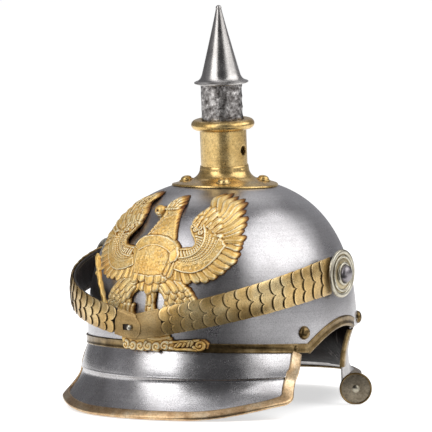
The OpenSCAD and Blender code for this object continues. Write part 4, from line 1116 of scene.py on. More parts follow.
scaleFrom = st["rosetteR"] - 9
sizes = [1.22 - 0.44 * k / (st["count"] - 1) for k in range(st["count"])]
for side, name, stop in ((1, "left", -25.5), (-1, "right", -20.5)):
    bm = bmesh.new()
    bm.verts.layers.float.new("relief")
    share = (frontS + stop - scaleFrom) / sum(sizes)
    for k, size in enumerate(sizes):
        pitch, start = size * share, scaleFrom + share * sum(sizes[:k])
        scaleOn(bm, start, pitch * st["length"], st["slope"] / pitch, side, k + 20 * side, 3 - k % 2)
    finished(bm, "strap_scales_" + name, "chin_" + name, "scale", ["chin_scales_" + name],
             sharp=50)
print("scales")

# End plates: the left one dips under the right one and carries the stud in its slot
ends = dict(leftFrom=-23.5, leftTo=13, rightFrom=-17.8, rightTo=5.6, dip=0.034, gap=0.25, studX=-4,
            slot=(10, 5))
leftNear = st["leather"] + 0.1
rightNear = leftNear - ends["dip"] * (-ends["rightTo"] - ends["leftFrom"]) + st["t"] + ends["gap"]


def endPlate(bm, start, stop, near, climb, side, seed):
    half = strapHalf(frontS)
    length = stop - start

    def at(x, y):
        u = math.sin(math.pi / 2 * (2 * x - 1))
        reach = length - half * (1 - math.sqrt(max(0, 1 - u * u)))
        q = 1 - abs(2 * y - 1)
        s = frontS + start + reach * q
        crown = st["crown"] * (1 - u * u) + 0.1 * noise.noise(Vector((seed, u * 1.4, q * 3)))
        fromEdge = min((1 - abs(u)) * half, (1 - q) * reach)
        line = 0.16 * math.exp(-((fromEdge - 1.3) / 0.35) ** 2)
        rear = y >= 0.5 and 0 < x < 1 and y < 0.999
        return onRun(s, u * strapHalf(s),
                     near + crown + climb * reach * q + (0 if rear else st["t"] - line), side)
    return gridOn(bm, 60, 120, at)


bm = bmesh.new()
endPlate(bm, ends["leftFrom"], ends["leftTo"], leftNear, -ends["dip"], 1, 3.3)
leftEnd = finished(bm, "strap_end_left", "chin_left", "endBrass", ["chin_end_left"],
                   sharp=50)
# The strap leather is used below as painted shade under the slot
leftEnd.data.materials.append(mats["strap"])
bm = bmesh.new()
endPlate(bm, ends["rightFrom"], ends["rightTo"], rightNear, 0, -1, 7.7)
bmesh.ops.remove_doubles(bm, verts=bm.verts, dist=weld)
front = onRun(frontS, 0, rightNear)
slotFrom, slotTo = ends["studX"] - ends["slot"][0] + 3, ends["studX"] + 3
slotHalf = ends["slot"][1] / 2


def squareIn(p, grow=0.0):
    q = toHelmet @ (p * 1000)
    return q, slotFrom - grow < q.x < slotTo + grow and abs(q.z - front.z) < slotHalf + grow


bmesh.ops.delete(bm, geom=[f for f in bm.faces if squareIn(f.calc_center_median())[1]], context="FACES")
for v in bm.verts:
    q, near = squareIn(v.co, 1.2)
    if v.is_boundary and near:
        edgeX = min((slotFrom, slotTo), key=lambda e: abs(e - q.x))
        edgeZ = front.z + math.copysign(slotHalf, q.z - front.z)
        if abs(edgeX - q.x) < abs(edgeZ - q.z):
            q.x, q.z = edgeX, clamp(q.z, front.z - slotHalf, front.z + slotHalf)
        else:
            q.x, q.z = clamp(q.x, slotFrom, slotTo), edgeZ
        v.co = world3(q)
bmesh.ops.remove_doubles(bm, verts=bm.verts, dist=weld)
bmesh.ops.bridge_loops(bm, edges=[e for e in bm.edges if e.is_boundary])
finished(bm, "strap_end_right", "chin_right", "endBrass", ["chin_end_right"], sharp=50)

for face in leftEnd.data.polygons:  # painted shade: the left plate's faces seen through the slot take the dark strap leather
    q = toHelmet @ (face.center * 1000)
    face.material_index = int(slotFrom - 1 < q.x < ends["studX"] - 1.9 and abs(q.z - front.z) < 3)

bm = bmesh.new()
near = leftNear - ends["dip"] * (-ends["leftFrom"] - ends["studX"]) + st["t"] + st["crown"] + 0.1
q = onRun(frontS, 0, near)
place = Matrix.Translation((ends["studX"], q.y, q.z)) @ Matrix.Rotation(math.radians(90), 4, "X")
studLine = [(0, 3.6), (1.2, 3.5), (1.9, 3.1), (2.2, 2.6), (2.1, 2.2), (1.5, 1.9), (1.4, 0.6), (1.7, 0.1),
            (0, 0)]
spunOn(bm, studLine, place, 32)
finished(bm, "strap_stud", "chin_left", "pale", ["chin_stud"], sharp=50)

# Leather under the scales, with a row of stitches along each edge
share = 0.92  # of the scales' width
deep = st["leather"]
halfLine = [(0, 0), (0.45, 0), (0.9, 0), (0.97, 0.05), (1, 0.3), (1, deep - 0.4), (0.97, deep - 0.05),
            (0.9, deep), (0.45, deep), (0, deep)]
leatherLine = halfLine + [(-w, out) for w, out in halfLine[-2:0:-1]]
for side, name, stop in ((1, "left", ends["leftFrom"] + 2), (-1, "right", ends["rightFrom"] + 2)):
    bm = bmesh.new()
    eyeR = strapHalf(0) * share

    def leatherAt(x, y, stop=stop, side=side):
        width, out = leatherLine[round(y * len(leatherLine)) % len(leatherLine)]
        s = -eyeR + (frontS + stop + eyeR) * x
        # The end at the pivot is round
        half = strapHalf(s) * share
        if s < 0:
            half = math.sqrt(max(0.01, eyeR * eyeR - s * s))
        ripple = 0.12 * noise.noise(Vector((s * 0.12, width, 4.0 * side)))
        if s < 1:
            return Vector(((strapIn + out) * side, -st["pivotFwd"] - s, st["pivotZ"] + width * half))
        return onRun(s, width * half, out + (ripple if 0 < out < deep else 0), side)
    gridOn(bm, 260, len(leatherLine), leatherAt)
    endCaps(bm)
    finished(bm, "strap_leather_" + name, "chin_" + name, "strap",
             ["chin_leather_" + name], sharp=60)
    bm = bmesh.new()
    count = int((frontS + stop - 14) / st["stitch"])
    for k in range(count):
        for edge in (-1, 1):
            s = 12 + k * st["stitch"]

            def stitchAt(x, y, s=s, edge=edge, side=side):
                t, a = 2 * x - 1, 2 * math.pi * y
                thick = 0.28 * math.sqrt(max(0, 1 - t * t))
                across = edge * (strapHalf(s) * share - 2.2) + thick * math.cos(a)
                return onRun(s + t * 1.15, across, -0.05 + thick * math.sin(a), side)
            gridOn(bm, 4, 5, stitchAt)
    finished(bm, "strap_stitches_" + name, "chin_" + name, "thread", sharp=60)

# Rosettes: turned rings round a domed bolt
scalesOut = st["leather"] + 0.1 + st["slope"] * st["length"] + st["t"] + st["crown"]
rosetteX = strapIn + scalesOut + 0.4
rosette = dict(outer=(15.6, 19.5, 1.0, 2.0), middle=(12.5, 14.9, 1.5, 2.7), inner=(6.9, 9.7, 2.0, 4.3))


def archProfile(inner, outer, low, high):
    # A round-topped ring between two radii
    mid, half = (inner + outer) / 2, (outer - inner) / 2
    rise, turns = high - low + half * 0.2, spaced(0, math.pi, 14)
    return [(mid - half * math.cos(t), low + rise * abs(math.sin(t)) ** 0.6) for t in turns]


hollowLine = [(3.1, 0.5), (3.1, 2), (6.9, 2), (9.6, 2.7), (12.6, 1.9), (14.8, 1.3), (15.7, 1.0),
              (17.5, 0.6), (17.5, 0.1), (3.1, 0.5)]
for side, name in ((1, "left"), (-1, "right")):
    flip = Matrix.Diagonal((side, 1, 1, 1))
    place = flip @ Matrix.Translation((rosetteX, -st["pivotFwd"], st["pivotZ"]))
    place = place @ Matrix.Rotation(math.radians(90), 4, "Y")
    bm = bmesh.new()
    for part in ("outer", "middle", "inner"):
        r0, r1, low, high = rosette[part]
        under = [(r1, 0.2 * low), (r0, 0.2 * low), (r0, low)]
        spunOn(bm, archProfile(r0, r1, low, high) + under, place, 144)
    finished(bm, "rosette_rings_" + name, "helmet_shell", "pale", ["rosette_" + name],
             sharp=60)
    bm = bmesh.new()
    spunOn(bm, hollowLine, place, 144)
    finished(bm, "rosette_hollow_" + name, "helmet_shell", "hollow", sharp=60)
    bm = bmesh.new()
    head = place @ Matrix.Translation((0, 0, st["rosetteT"] + st["boss"] - 2.2))
    spunOn(bm, domeProfile(14, 5, 0.15, 0.6), head, 64)
    deep = rosetteX - (domeHalf(-st["pivotFwd"], st["pivotZ"]) - 14)
    spunOn(bm, [(0, 0.4), (3, 0.4), (3, -deep - 5), (2.6, -deep - 5.5), (0, -deep - 5.5)], head, 32)
    finished(bm, "rosette_bolt_" + name, "helmet_shell", "bolt", ["pivot_bolt_" + name],
             sharp=60)
print("strap and rosettes")

# Lining: a sweatband on its ring, and tongues gathered towards the crown
lining = dict(deep=27, t=2, space=11, count=10, share=0.68, ring=14, stitches=150)
sweatZ = skull["earTop"] + 1.5
sweatOut = -h["steel"] - lining["space"]


def ringLoop(points):
    # A closed section of (height, distance out from the skull), carried round the helmet
    def at(x, y):
        z, out = points[round(y * len(points)) % len(points)]
        return domeAt(2 * math.pi * x, z, out)
    return at


t, z0, z1 = lining["t"], sweatZ, sweatZ + lining["deep"]
band = [(z0, sweatOut - 0.6), (z0 - 0.5, sweatOut - t / 2), (z0, sweatOut - t + 0.2)]
band += [(z, sweatOut - t) for z in spaced(z0, z1, 10)[1:-1]]
band[3] = (band[3][0], sweatOut - t - 0.25)
band += [(z1, sweatOut - t + 0.3), (z1 + 0.4, sweatOut - t / 2), (z1, sweatOut)]
band += [(z, sweatOut) for z in spaced(z1, z0, 6)[1:-1]]
bm = bmesh.new()
gridOn(bm, 220, len(band), ringLoop(band))
finished(bm, "sweat_band", "helmet_shell", "lining", ["sweatband"], sharp=60)
bm = bmesh.new()
for k in range(lining["stitches"]):
    a = 2 * math.pi * k / lining["stitches"]

    def hemAt(x, y, a=a):
        q, b = 2 * x - 1, 2 * math.pi * y
        r = 0.3 * math.sqrt(max(0, 1 - q * q))
        return domeAt(a + q * 0.011, sweatZ + 3.2 + r * math.sin(b), sweatOut - t - r * math.cos(b))
    gridOn(bm, 4, 5, hemAt)
finished(bm, "sweat_band_stitches", "helmet_shell", "thread", sharp=60)
top, outer, inner = sweatZ + lining["ring"], -h["steel"] - 0.5, sweatOut + 0.25
middle, rise = (outer + inner) / 2, (12, 8, 4, 0)
hoop = [(top - down, outer) for down in rise] + [(top + 0.2, middle)]
hoop += [(top - down, inner) for down in rise[::-1]] + [(top - 12.2, middle)]
bm = bmesh.new()
gridOn(bm, 200, len(hoop), ringLoop(hoop))
finished(bm, "lining_hoop", "helmet_shell", "lining", ["liner_ring"], sharp=50)
tongueFrom, tongueTo = sweatZ + lining["deep"] - 8, h["wide"] + h["high"] - 32
tongueNear = sweatOut - 2 * t - 0.5
bm = bmesh.new()
for k in range(lining["count"]):
    def tongueAt(x, y, k=k):
        z = tongueFrom + (tongueTo - tongueFrom) * math.sin(math.pi / 2 * y)
        taper = (1 - 0.25 * y) * math.sqrt(max(0.02, 1 - max(0, (y - 0.9) / 0.1) ** 2))
        across, half = math.cos(2 * math.pi * x), math.pi / lining["count"] * lining["share"] * taper
        layer = clamp(1.6 * t * math.sin(2 * math.pi * x), -t / 2, t / 2)
        pucker = 0.5 * noise.noise(Vector((k * 2.7, y * 5, across))) * smooth(y * 3)
        return domeAt(2 * math.pi * k / lining["count"] + half * across, z,
                      tongueNear + t / 2 + layer + pucker)
    gridOn(bm, 32, 40, tongueAt)
    endCaps(bm)
finished(bm, "lining_tongues", "helmet_shell", "lining", ["liner_tongues"], sharp=60)
print("lining")

# Eagle: an embossed brass plate. Its relief is drawn from the front on a fine grid, from the
# lowest layer to the highest, and the grid is then bent round the skull
eagle = dict(mid=1.4, step=0.46, left=-66, right=70, low=56, top=183, back=0.5, sheet=0.7, base=1.5,
             standOff=1.3, footZ=77.9, blur=3, grain=0.05, darkest=0.13, rimSteps=4)
gridXs = np.arange(eagle["left"], eagle["right"], eagle["step"])
gridZs = np.arange(eagle["low"], eagle["top"], eagle["step"])
gridX, gridZ = np.meshgrid(gridXs, gridZs, indexing="ij")
high, cover = np.zeros(gridX.shape), np.full(gridX.shape, -9.0)
stipple = np.random.default_rng(3).normal(0, 1, gridX.shape)
for _ in range(2):
    stipple = sum(np.roll(stipple, k, k % 2) for k in (-1, 0, 1, 2)) / 2.4

# The wing, thigh and breast feathers were placed in the photograph. Their places are
# written in its pixels, and looked up on the skull along the camera's rays
photo = dict(
    aim=(232.9, 206.5), scale=1.2234,  # the camera's aim, and pixels to a millimetre
    out=2.6, sink=1.2,  # how far off the skull a place is looked up, and how far it is then drawn in
    reach=260,  # from the aim to in front of the helmet
    turned=45, squeeze=0.86,  # from here outwards a wing is drawn narrower
    blunt=0.9)  # half width up to which a feather keeps its whole tip
towards = np.array(fromAngles(view["azimuth"], view["elevation"], 1))
rightward = np.array(fromAngles(view["azimuth"] + 90, 0, 1))
upward = np.cross(towards, rightward)


def alongRay(ray, far):
    # How far outside the skull a place on a ray is, the place, and the skull's direction there
    x, y, z = (np.array(view["aim"]) + towards * view["distance"]) * 1000 + ray * far
    y, z = y * leanCos + z * leanSin, z * leanCos - y * leanSin
    wide, long, tall = h["halfW"] + photo["out"], h["halfL"] + photo["out"], h["high"] + photo["out"]
    rise, r = max(0, z - h["wide"]) / tall, math.hypot(x / wide, (y - h["midY"]) / long)
    grow = r ** (h["power"] - 2)
    normal = np.array([grow * x / wide ** 2, grow * (y - h["midY"]) / long ** 2,
                       rise ** (h["power"] - 1) / tall])
    return r ** h["power"] + rise ** h["power"] - 1, np.array([x, y, z]), normal / np.linalg.norm(normal)


def fromPhoto(px, py):
    # The place on the skull, as (across, up), that a pixel of the photograph shows
    far = view["distance"] * 1000
    across, up = (px - photo["aim"][0]) / photo["scale"], (photo["aim"][1] - py) / photo["scale"]
    ray = rightward * across + upward * up - towards * far
    ray = ray / np.linalg.norm(ray)
    close = far - photo["reach"]
    for _ in range(40):
        middle = (close + far) / 2
        close, far = (middle, far) if alongRay(ray, middle)[0] > 0 else (close, middle)
    _, place, normal = alongRay(ray, far)
    x, y, z = place - normal * photo["sink"]
    x = x if x < photo["turned"] else photo["turned"] + (x - photo["turned"]) * photo["squeeze"]
    return round(float(x), 1), round(float(z), 1)


def outlineFrom(pixels):
    return [fromPhoto(*p) for p in pixels]


def feathersFrom(group):
    # Each one is (root, middle, tip, half width); the tip is drawn back by its own roundness
    laid = []
    for *pixels, half in group:
        a, b, c = outlineFrom(pixels)
        share = max(0, 1 - (half - photo["blunt"]) * 0.5 / math.dist(b, c))
        laid.append((a, b, tuple(round(p + (q - p) * share, 1) for p, q in zip(b, c)), half))
    return laid


def mirrored(points):
    return [(2 * eagle["mid"] - x, z) for x, z in points]


def flatCurve(points, per=6):
    return np.array([(p.x, p.y) for p in curved([(x, z, 0) for x, z in points], per)])


def near(points, reach):
    # The part of the grid within reach of the points, and the nearest place on their line
    lo, hi = points.min(0) - reach, points.max(0) + reach
    cut = (slice(*np.searchsorted(gridXs, (lo[0], hi[0]))), slice(*np.searchsorted(gridZs, (lo[1], hi[1]))))
    px, pz = gridX[cut], gridZ[cut]
    best, along, side, far = np.full(px.shape, 99.0), np.zeros(px.shape), np.zeros(px.shape), 0.0
    for (ax, az), (bx, bz) in zip(points, points[1:]):
        dx, dz = bx - ax, bz - az
        size = math.hypot(dx, dz) or 1e-6
        t = np.clip(((px - ax) * dx + (pz - az) * dz) / size ** 2, 0, 1)
        d = np.hypot(px - ax - t * dx, pz - az - t * dz)
        closer = d < best
        best = np.where(closer, d, best)
        along = np.where(closer, far + t * size, along)
        side = np.where(closer, ((px - ax) * dz - (pz - az) * dx) / size, side)
        far += size
    return cut, best, along, side, far


def inward(points):
    # The part of the grid near a closed outline, and the distance into it, negative outside
    cut, d, *_ = near(points, 2)
    px, pz = gridX[cut], gridZ[cut]
    odd = np.zeros(px.shape, bool)
    for (ax, az), (bx, bz) in zip(points, points[1:]):
        odd ^= ((az > pz) != (bz > pz)) & (px < (bx - ax) * (pz - az) / ((bz - az) or 1e-9) + ax)
    return cut, d, np.where(odd, d, -d)


def draw(cut, inside, top):
    high[cut] = np.where(inside > 0, top, high[cut])
    cover[cut] = np.maximum(cover[cut], inside)


def feather(path, half, base, rise, lift=0.5, grooves=0, depth=0.2, rib=0.0, root=0.55, barbs=0.0,
            notch=0.0):
    cut, d, along, side, size = near(flatCurve(path), half + 1)
    s = along / size
    width = half * (root + (1 - root) * np.clip(s * 2.2, 0, 1) ** 0.7)
    q = np.clip(d / width, 0, 1)
    top = base + lift * s + rise * np.sqrt(1 - q * q)
    if grooves:
        top = top + depth * np.cos(side / width * math.pi * grooves) * (1 - q ** 4)
    if barbs:
        top = top + barbs * np.sin((along + 0.9 * d) * 2 * math.pi / 1.7)
    top = top + rib * np.exp(-(d / 0.45) ** 2) - notch * np.exp(-((width - d) / 0.55) ** 2)
    draw(cut, width - d, top)


def feathers(group, side, base, rise, lift, step=0.0, **more):
    # A group of feathers, each one a step higher than the one before it
    for i, (a, b, c, half) in enumerate(group):
        feather(side([a, b, c]), half, base + step * i, rise, lift, **more)


def field(outline, base, rise=0.0, soft=1.0, frost=0.0):
    # A raised area with rounded edges; frost is the depth of its stippled ground
    cut, d, inside = inward(np.array([*outline, outline[0]], float))
    q = 1 - np.clip(d / soft, 0, 1)
    draw(cut, inside, base + rise * np.sqrt(1 - q * q) + frost * stipple[cut])


def cutOut(outline):
    cut, d, inside = inward(flatCurve([*outline, outline[0]], 5))
    cover[cut] = np.minimum(cover[cut], -inside)


def wire(path, half, base, rise, lift=0.0):
    feather(path, half, base, rise, lift, root=1.0)


def onLine(points, t):
    line = flatCurve(points, 8)
    place = t * (len(line) - 1)
    i = min(int(place), len(line) - 2)
    return tuple(line[i] + (line[i + 1] - line[i]) * (place - i))


def between(a, b, share):
    return tuple(p + (q - p) * share for p, q in zip(a, b))


def fan(roots, mids, tips, count, half, base, rise, **more):
    for i in range(count):
        t = i / max(1, count - 1)
        jog = 0.5 * math.sin(i * 5.3)
        tip = onLine(tips, t)
        path = [onLine(roots, t), onLine(mids, t), (tip[0] + jog, tip[1] + jog)]
        feather(path, half, base + 0.03 * (i % 2), rise, **more)


def curl(x, z, size, turn, way=1, turns=1.4, half=0.75, base=2.2, rise=1.1):
    path = []
    for k in range(14):
        r, a = size * (1 - k / 15), turn + way * turns * 2 * math.pi * k / 14
        path.append((x + r * math.cos(a), z + r * math.sin(a)))
    wire(path, half, base, rise)


wingField = outlineFrom([(217, 206), (218.4, 195), (222.5, 194.6), (228.6, 196.5), (231, 199.8),
    (237.6, 200.6), (241.2, 204.6), (241.8, 209.5), (243, 215), (247, 219), (247, 223.5), (244.8, 230.5),
    (247.6, 238), (245, 243), (243, 248.5), (240.3, 256), (237.3, 261), (231, 264.6), (225.4, 270.2),
    (219.6, 274.4), (214, 276.3), (207, 279.1), (199, 280), (187, 281.6), (176, 280.5), (175, 262),
    (179, 247), (184, 247.2), (192, 247), (196.5, 243), (197, 238), (194, 232.5), (192.6, 226),
    (194, 220.5), (197.6, 216), (204, 210.6), (210.5, 205.6)])
longFeathers = feathersFrom([((216.5, 214), (216.6, 204.5), (219.6, 195.8), 2.3),
    ((218, 215), (221.5, 204.5), (224.8, 196), 2.6), ((219, 217), (226.5, 208), (230.4, 199), 2.6),
    ((220, 219.5), (230, 210.5), (236.8, 201.5), 3.0), ((221, 223), (233, 213), (241.2, 204.8), 3.0),
    ((222, 226.5), (234, 219), (242.4, 211.8), 2.8), ((223, 230), (237, 224.5), (246.8, 218.6), 3.1),
    ((224, 233), (238, 228.8), (247, 224.6), 2.8), ((226, 236), (237, 233), (245, 230.8), 2.3),
    ((228, 239), (239, 238.5), (247.6, 238), 2.9), ((229, 242), (238, 243.5), (244.8, 243.8), 2.5)])
lowFeathers = feathersFrom([((229, 245), (238, 246.5), (244, 248.2), 2.5),
    ((226, 249), (235, 252.2), (241.6, 255.6), 2.9), ((221, 254.5), (231, 259), (238.6, 261.6), 2.9),
    ((216, 259.5), (225, 264.5), (232, 266.6), 2.8), ((210, 264.5), (219, 269.5), (226, 271.6), 2.8),
    ((204, 268), (210.5, 273.8), (216.6, 276.8), 2.9), ((198, 270), (203, 276.2), (207.2, 280.2), 3.0),
    ((191, 271), (195, 277), (198.3, 280.6), 3.0), ((184, 270.5), (186.5, 277), (188.5, 281.6), 3.1),
    ((177, 268), (177.5, 276), (178.5, 281.5), 3.1), ((170.5, 264), (170.5, 273.5), (171, 281.4), 3.0)])
coverts = feathersFrom([((209.5, 236), (217, 229.5), (223.5, 224.5), 2.2),
    ((208, 232), (215, 223.5), (222.5, 218), 2.3), ((206, 228), (212.5, 218.5), (220.5, 211.5), 2.4),
    ((203.5, 225.5), (210, 215), (217, 207.5), 2.4), ((200, 222.5), (205.5, 213.5), (212.5, 206.5), 2.3),
    ((197, 221.5), (200.5, 215.5), (206, 210.5), 2.0)])
nearCoverts = feathersFrom([((213, 246), (219, 243), (225.5, 241.5), 2.2),
    ((212, 241), (218, 237), (224.5, 234.5), 2.2), ((207, 229.5), (210.5, 225), (215, 221.5), 1.7),
    ((203, 227), (206, 221.5), (210.5, 217), 1.8), ((199.5, 225), (202, 219.5), (206, 215), 1.8),
    ((196, 223.5), (197.5, 219), (201, 215), 1.7)])
innerEdge = outlineFrom([(193.2, 226), (194.6, 232.2), (197.4, 238), (197, 243.2), (192.6, 247),
    (186, 247.6), (179.5, 248.4)])
wireEdge = outlineFrom([(207.6, 223), (208.3, 231), (207, 239), (203, 246.5), (197, 252), (190, 255.5),
    (180, 256.7)])
ribbonTop = outlineFrom([(223.5, 236), (221.5, 241), (217.6, 247), (211.5, 254), (203.8, 259.8),
    (195.5, 262.8), (187, 262.9), (178.5, 260.3), (172, 256.8)])
ribbonLow = outlineFrom([(231, 243.6), (226, 249.5), (220, 256), (212, 263), (204, 268.3), (196, 271.1),
    (187, 271.1), (178, 268.6), (170, 264.3)])
wingCurls = [(195.6, 224.6, 0), (199.2, 227.6, 2), (203.6, 225.6, 4), (200.4, 222.2, 1), (204.4, 230.4, 3)]
for side in (mirrored, list):
    field(side(wingField), 1.1, 0.4, 1.2)
    feathers(longFeathers[::-1], side, 1.35, 0.75, 0.6, grooves=2, depth=0.2, root=0.8, notch=0.4)
    feathers(lowFeathers, side, 1.15, 1.1, 0.6, grooves=2, depth=0.18, root=0.85, notch=0.55)
    feathers(coverts, side, 2.0, 0.9, 0.6, grooves=2, depth=0.16, root=0.7, notch=0.45)
    feathers(nearCoverts, side, 2.4, 0.9, 0.6, grooves=1, depth=0.1, root=0.7, notch=0.45)
    field(side([*wireEdge, *ribbonTop[::-1]]), 2.2, 0.2, 1.0, frost=0.1)
    for share in (0.18, 0.42, 0.66, 0.88):
        path = [between(onLine(wireEdge, t), onLine(ribbonTop, t), share)
                for t in (0.12, 0.3, 0.5, 0.7, 0.86, 0.98)]
        feather(side(path), 1.0, 2.25, 0.65, 0.0, root=1, barbs=0.2, notch=0.2)
    field(side([*ribbonTop, *ribbonLow[::-1]]), 2.7, 0.3, 0.8, frost=0.16)
    wire(side(ribbonLow), 0.55, 2.9, 0.5)
    wire(side(ribbonTop), 0.5, 2.7, 0.5)
    field(side([*innerEdge, *wireEdge[::-1]]), 2.3, 0.2, 0.6)
    for t in spaced(0, 1, 12):
        a, b = onLine(innerEdge, 0.2 + 0.78 * t), onLine(wireEdge, 0.3 + 0.68 * t)
        feather(side([between(a, b, 0.28), between(a, b, 0.8)]), 1.2, 2.3, 1.2, 0.2, root=0.8, notch=0.45)
    wire(side(wireEdge), 0.7, 2.9, 0.8)
    wire(side(innerEdge), 0.9, 2.5, 0.8)
    for px, py, turn in wingCurls:
        curl(*side([fromPhoto(px, py)])[0], 1.8, turn, turns=1.1, half=0.65, base=2.9, rise=0.8)

# Thighs, tail and foot
thigh = outlineFrom([(158, 283), (170, 279), (182, 283.2), (191, 287.5), (194.3, 297), (196.4, 306),
    (186, 312), (176, 318), (161, 320), (157.6, 314), (162.8, 311), (163.6, 303), (164, 299),
    (161.5, 294.5), (156.6, 290)])
thighLeaves = feathersFrom([((186, 300.5), (191, 302.5), (195.3, 306.4), 2.4),
    ((180, 300.5), (186, 303.5), (190.6, 307.4), 2.5), ((173, 299.5), (178.6, 303.5), (182.5, 308), 2.6),
    ((186, 293.5), (191, 296), (194.6, 300.6), 2.4), ((180, 294), (185.5, 297.5), (189.5, 301.5), 2.6),
    ((173.5, 294), (179, 297.5), (182.6, 302.5), 2.7), ((166.5, 293), (171, 297.5), (173.6, 303), 2.7),
    ((182, 287), (187, 290), (191.6, 294.8), 2.5), ((175.5, 287), (181, 291), (184.6, 296.5), 2.7),
    ((168.6, 286.5), (173.5, 291), (176.8, 297), 2.8), ((162, 287.5), (166, 292), (168.3, 298), 2.6),
    ((176, 281.5), (181, 284.5), (186, 289.5), 2.7), ((169, 280.5), (174, 284.5), (178.5, 290.5), 2.9),
    ((161.5, 281.5), (166, 285.5), (170, 291.5), 2.8)])
for side in (mirrored, list):
    field(side(thigh), 1.3, 0.5, 2.2)
    for t in spaced(0, 1, 4):
        path = [onLine([(17.5, 97), (36, 101)], t), onLine([(16, 88), (33, 90)], t)]
        feather(side(path), 2.4, 1.7, 0.7, 0.0, root=1, notch=0.2)
    feathers(thighLeaves, side, 1.6, 1.15, 0.9, step=0.07, rib=0.2, root=0.75, notch=0.6)
field([(-13, 122), (-8.5, 121), (-4, 114.7), (1, 110.3), (3.9, 109.6), (9, 112.2), (14.4, 117), (19, 122),
       (12, 128), (-8, 128)], 2.0, 0.8, 3)
field([(-1.5, 113), (9.8, 113), (9.8, 106), (9.1, 100.5), (10.8, 96), (13.5, 92), (22, 90), (20, 82),
       (-16, 82), (-12, 90), (-2.5, 91), (0.4, 96), (0.8, 101), (0.2, 106)], 1.6, 0.6, 1.6)
tail = [(2.2, 96, -1.5, 2.2), (7.6, 96.4, 1.5, 2.2), (4.9, 93.5, 0, 2.5), (2.8, 102.5, -1, 2.1),
        (7.2, 103, 1, 2.1), (4.9, 100.4, 0, 2.3)]
for x, z, lean, half in tail:
    path = [(x - lean, z + 9), (x - lean * 0.4, z + 4), (x, z)]
    feather(path, half, 1.9, 0.9, 0.7, rib=0.2, notch=0.5)
breast = feathersFrom([((143, 281), (143, 285), (143.3, 288), 3.5),
    ((157, 281), (156.6, 285), (156, 288.6), 3.5), ((149.5, 281), (149.5, 286), (149.6, 291), 4.2),
    ((137, 269), (136.4, 275), (135.4, 279.2), 3.4), ((164, 269), (165, 274.5), (165.6, 279.5), 3.4),
    ((143.6, 268), (143.3, 273), (143, 278.4), 3.8), ((159, 269), (159.4, 274.5), (159.4, 280), 3.8),
    ((151.3, 268), (151.3, 275), (151.4, 281), 4.4)])
feathers(breast, list, 2.2, 1.2, 1.0, step=0.08, grooves=2, depth=0.14, root=0.8, notch=0.6)
for side in (mirrored, list):
    for x in (13.6, 17.8, 22.2):
        wire(side([(x, 99), (x + 0.6, 95.5), (x + 0.2, 92), (x - 0.8, 89.2)]), 1.6, 2.0, 1.5)
    field(side([(1, 84), (12, 85), (27, 82), (38, 86), (40, 92), (34, 94), (20, 91), (1, 91)]), 1.5, 0.6,
          1.5)
    roots, mids, tips = side([(14, 88), (26, 88)]), side([(22, 86), (32, 88)]), side([(28, 82), (38, 89)])
    fan(roots, mids, tips, 5, 1.7, 2.0, 0.8, grooves=1, depth=0.1)
field([(-20, 84), (-22, 72), (-19.5, 66), (-12, 63.4), (0, 62.8), (12, 63.4), (21, 66), (25, 72),
       (22.5, 84)], 1.4, 0.5, 1.2)
field([(20, 72), (20, 64), (35.5, 63.4), (46, 63), (51.6, 65), (52.6, 69.4), (49.5, 72.6), (43, 73.2),
       (30, 72.5)], 1.4, 0.5, 1.2)
for i in range(4):
    z = 83.4 - i * 3
    wire([(-19.5, z), (-9, z - 1.4), (1.4, z), (12, z - 1.4), (22.3, z)], 1.1, 1.9, 0.8)
for i, x in enumerate((-16.6, -9.2, -1.8, 5.6, 13, 20)):
    curl(x, 67.2 + 0.4 * (i % 2), 3.5, 1.4 + i * 2.4, 1 if i % 2 else -1, turns=1.25, half=1.25, base=2.4,
         rise=1.4)
curl(46.4, 68, 4.4, 3.4, 1, 1.5, half=1.15, base=2.1, rise=1.2)
wire([(24, 66.4), (30, 65), (37, 65), (44, 64)], 1.2, 2.1, 1.2)
wire([(24, 70.6), (31, 71.4), (39, 71.4), (45, 72)], 1.0, 2.1, 1.0)
fan([(27, 66.6), (40, 67.6)], [(29, 68.2), (40.6, 69)], [(31.5, 70), (41, 70.6)], 5, 1.3, 2.0, 0.9,
    notch=0.4)

# Breast, banner and neck. The banner and the field under it stay bare
field([(-17, 149), (-19, 140), (-15, 130), (-10, 124), (18, 124), (22, 130), (22.6, 138), (20.4, 144),
       (16.6, 149), (10, 154), (-8, 154)], 2.2, 0.7, 2)
breastSides = feathersFrom([((172, 262), (169, 268), (166.5, 273.5), 2.2),
    ((175.5, 262), (173, 269), (170, 276), 2.0)])
feathers(breastSides, list, 2.6, 0.9, 0.4, notch=0.5)
field([(-12, 124), (-13.4, 133), (-13, 141), (-9.5, 143.6), (-4, 145.6), (1.3, 146.4), (7.6, 145.4),
       (13.6, 142.8), (16.2, 137), (15.5, 129), (13, 123.6), (2, 122.6)], 3.0, 0.5, 1.6, frost=0.14)
field([(-13.4, 124), (-11.4, 124), (-12.6, 133), (-12.2, 141), (-14.6, 144)], 3.2, 0.4, 0.7)
field([(-17.6, 143.4), (-14.1, 148.4), (-12.7, 150.7), (-5.9, 152.7), (3.2, 153), (11.1, 151.6),
       (17.3, 148.6), (21.6, 144.2), (17, 140.2), (13.6, 142.6), (7.6, 144.9), (1.3, 145.9), (-5.5, 144.8),
       (-10.5, 142.6), (-12.5, 141.2)], 3.3, 0.5, 0.8, frost=0.12)
bannerTop = [(-16.6, 145.2), (-12.7, 150.2), (-5.9, 152.3), (3.2, 152.6), (11.1, 151.2), (17.3, 148.2),
             (21.6, 144.6)]
bannerLow = [(-12.5, 141.4), (-5.5, 145), (1.3, 146.1), (7.6, 145.2), (13.6, 142.8), (16.6, 140.6)]
wire(bannerTop, 0.55, 3.5, 0.6)
wire(bannerLow, 0.5, 3.5, 0.6)
field([(16.6, 140.6), (21.2, 144.4), (24, 138.6), (22.9, 134.4), (19, 132.4), (17.2, 135)], 3.4, 0.8, 1.2)
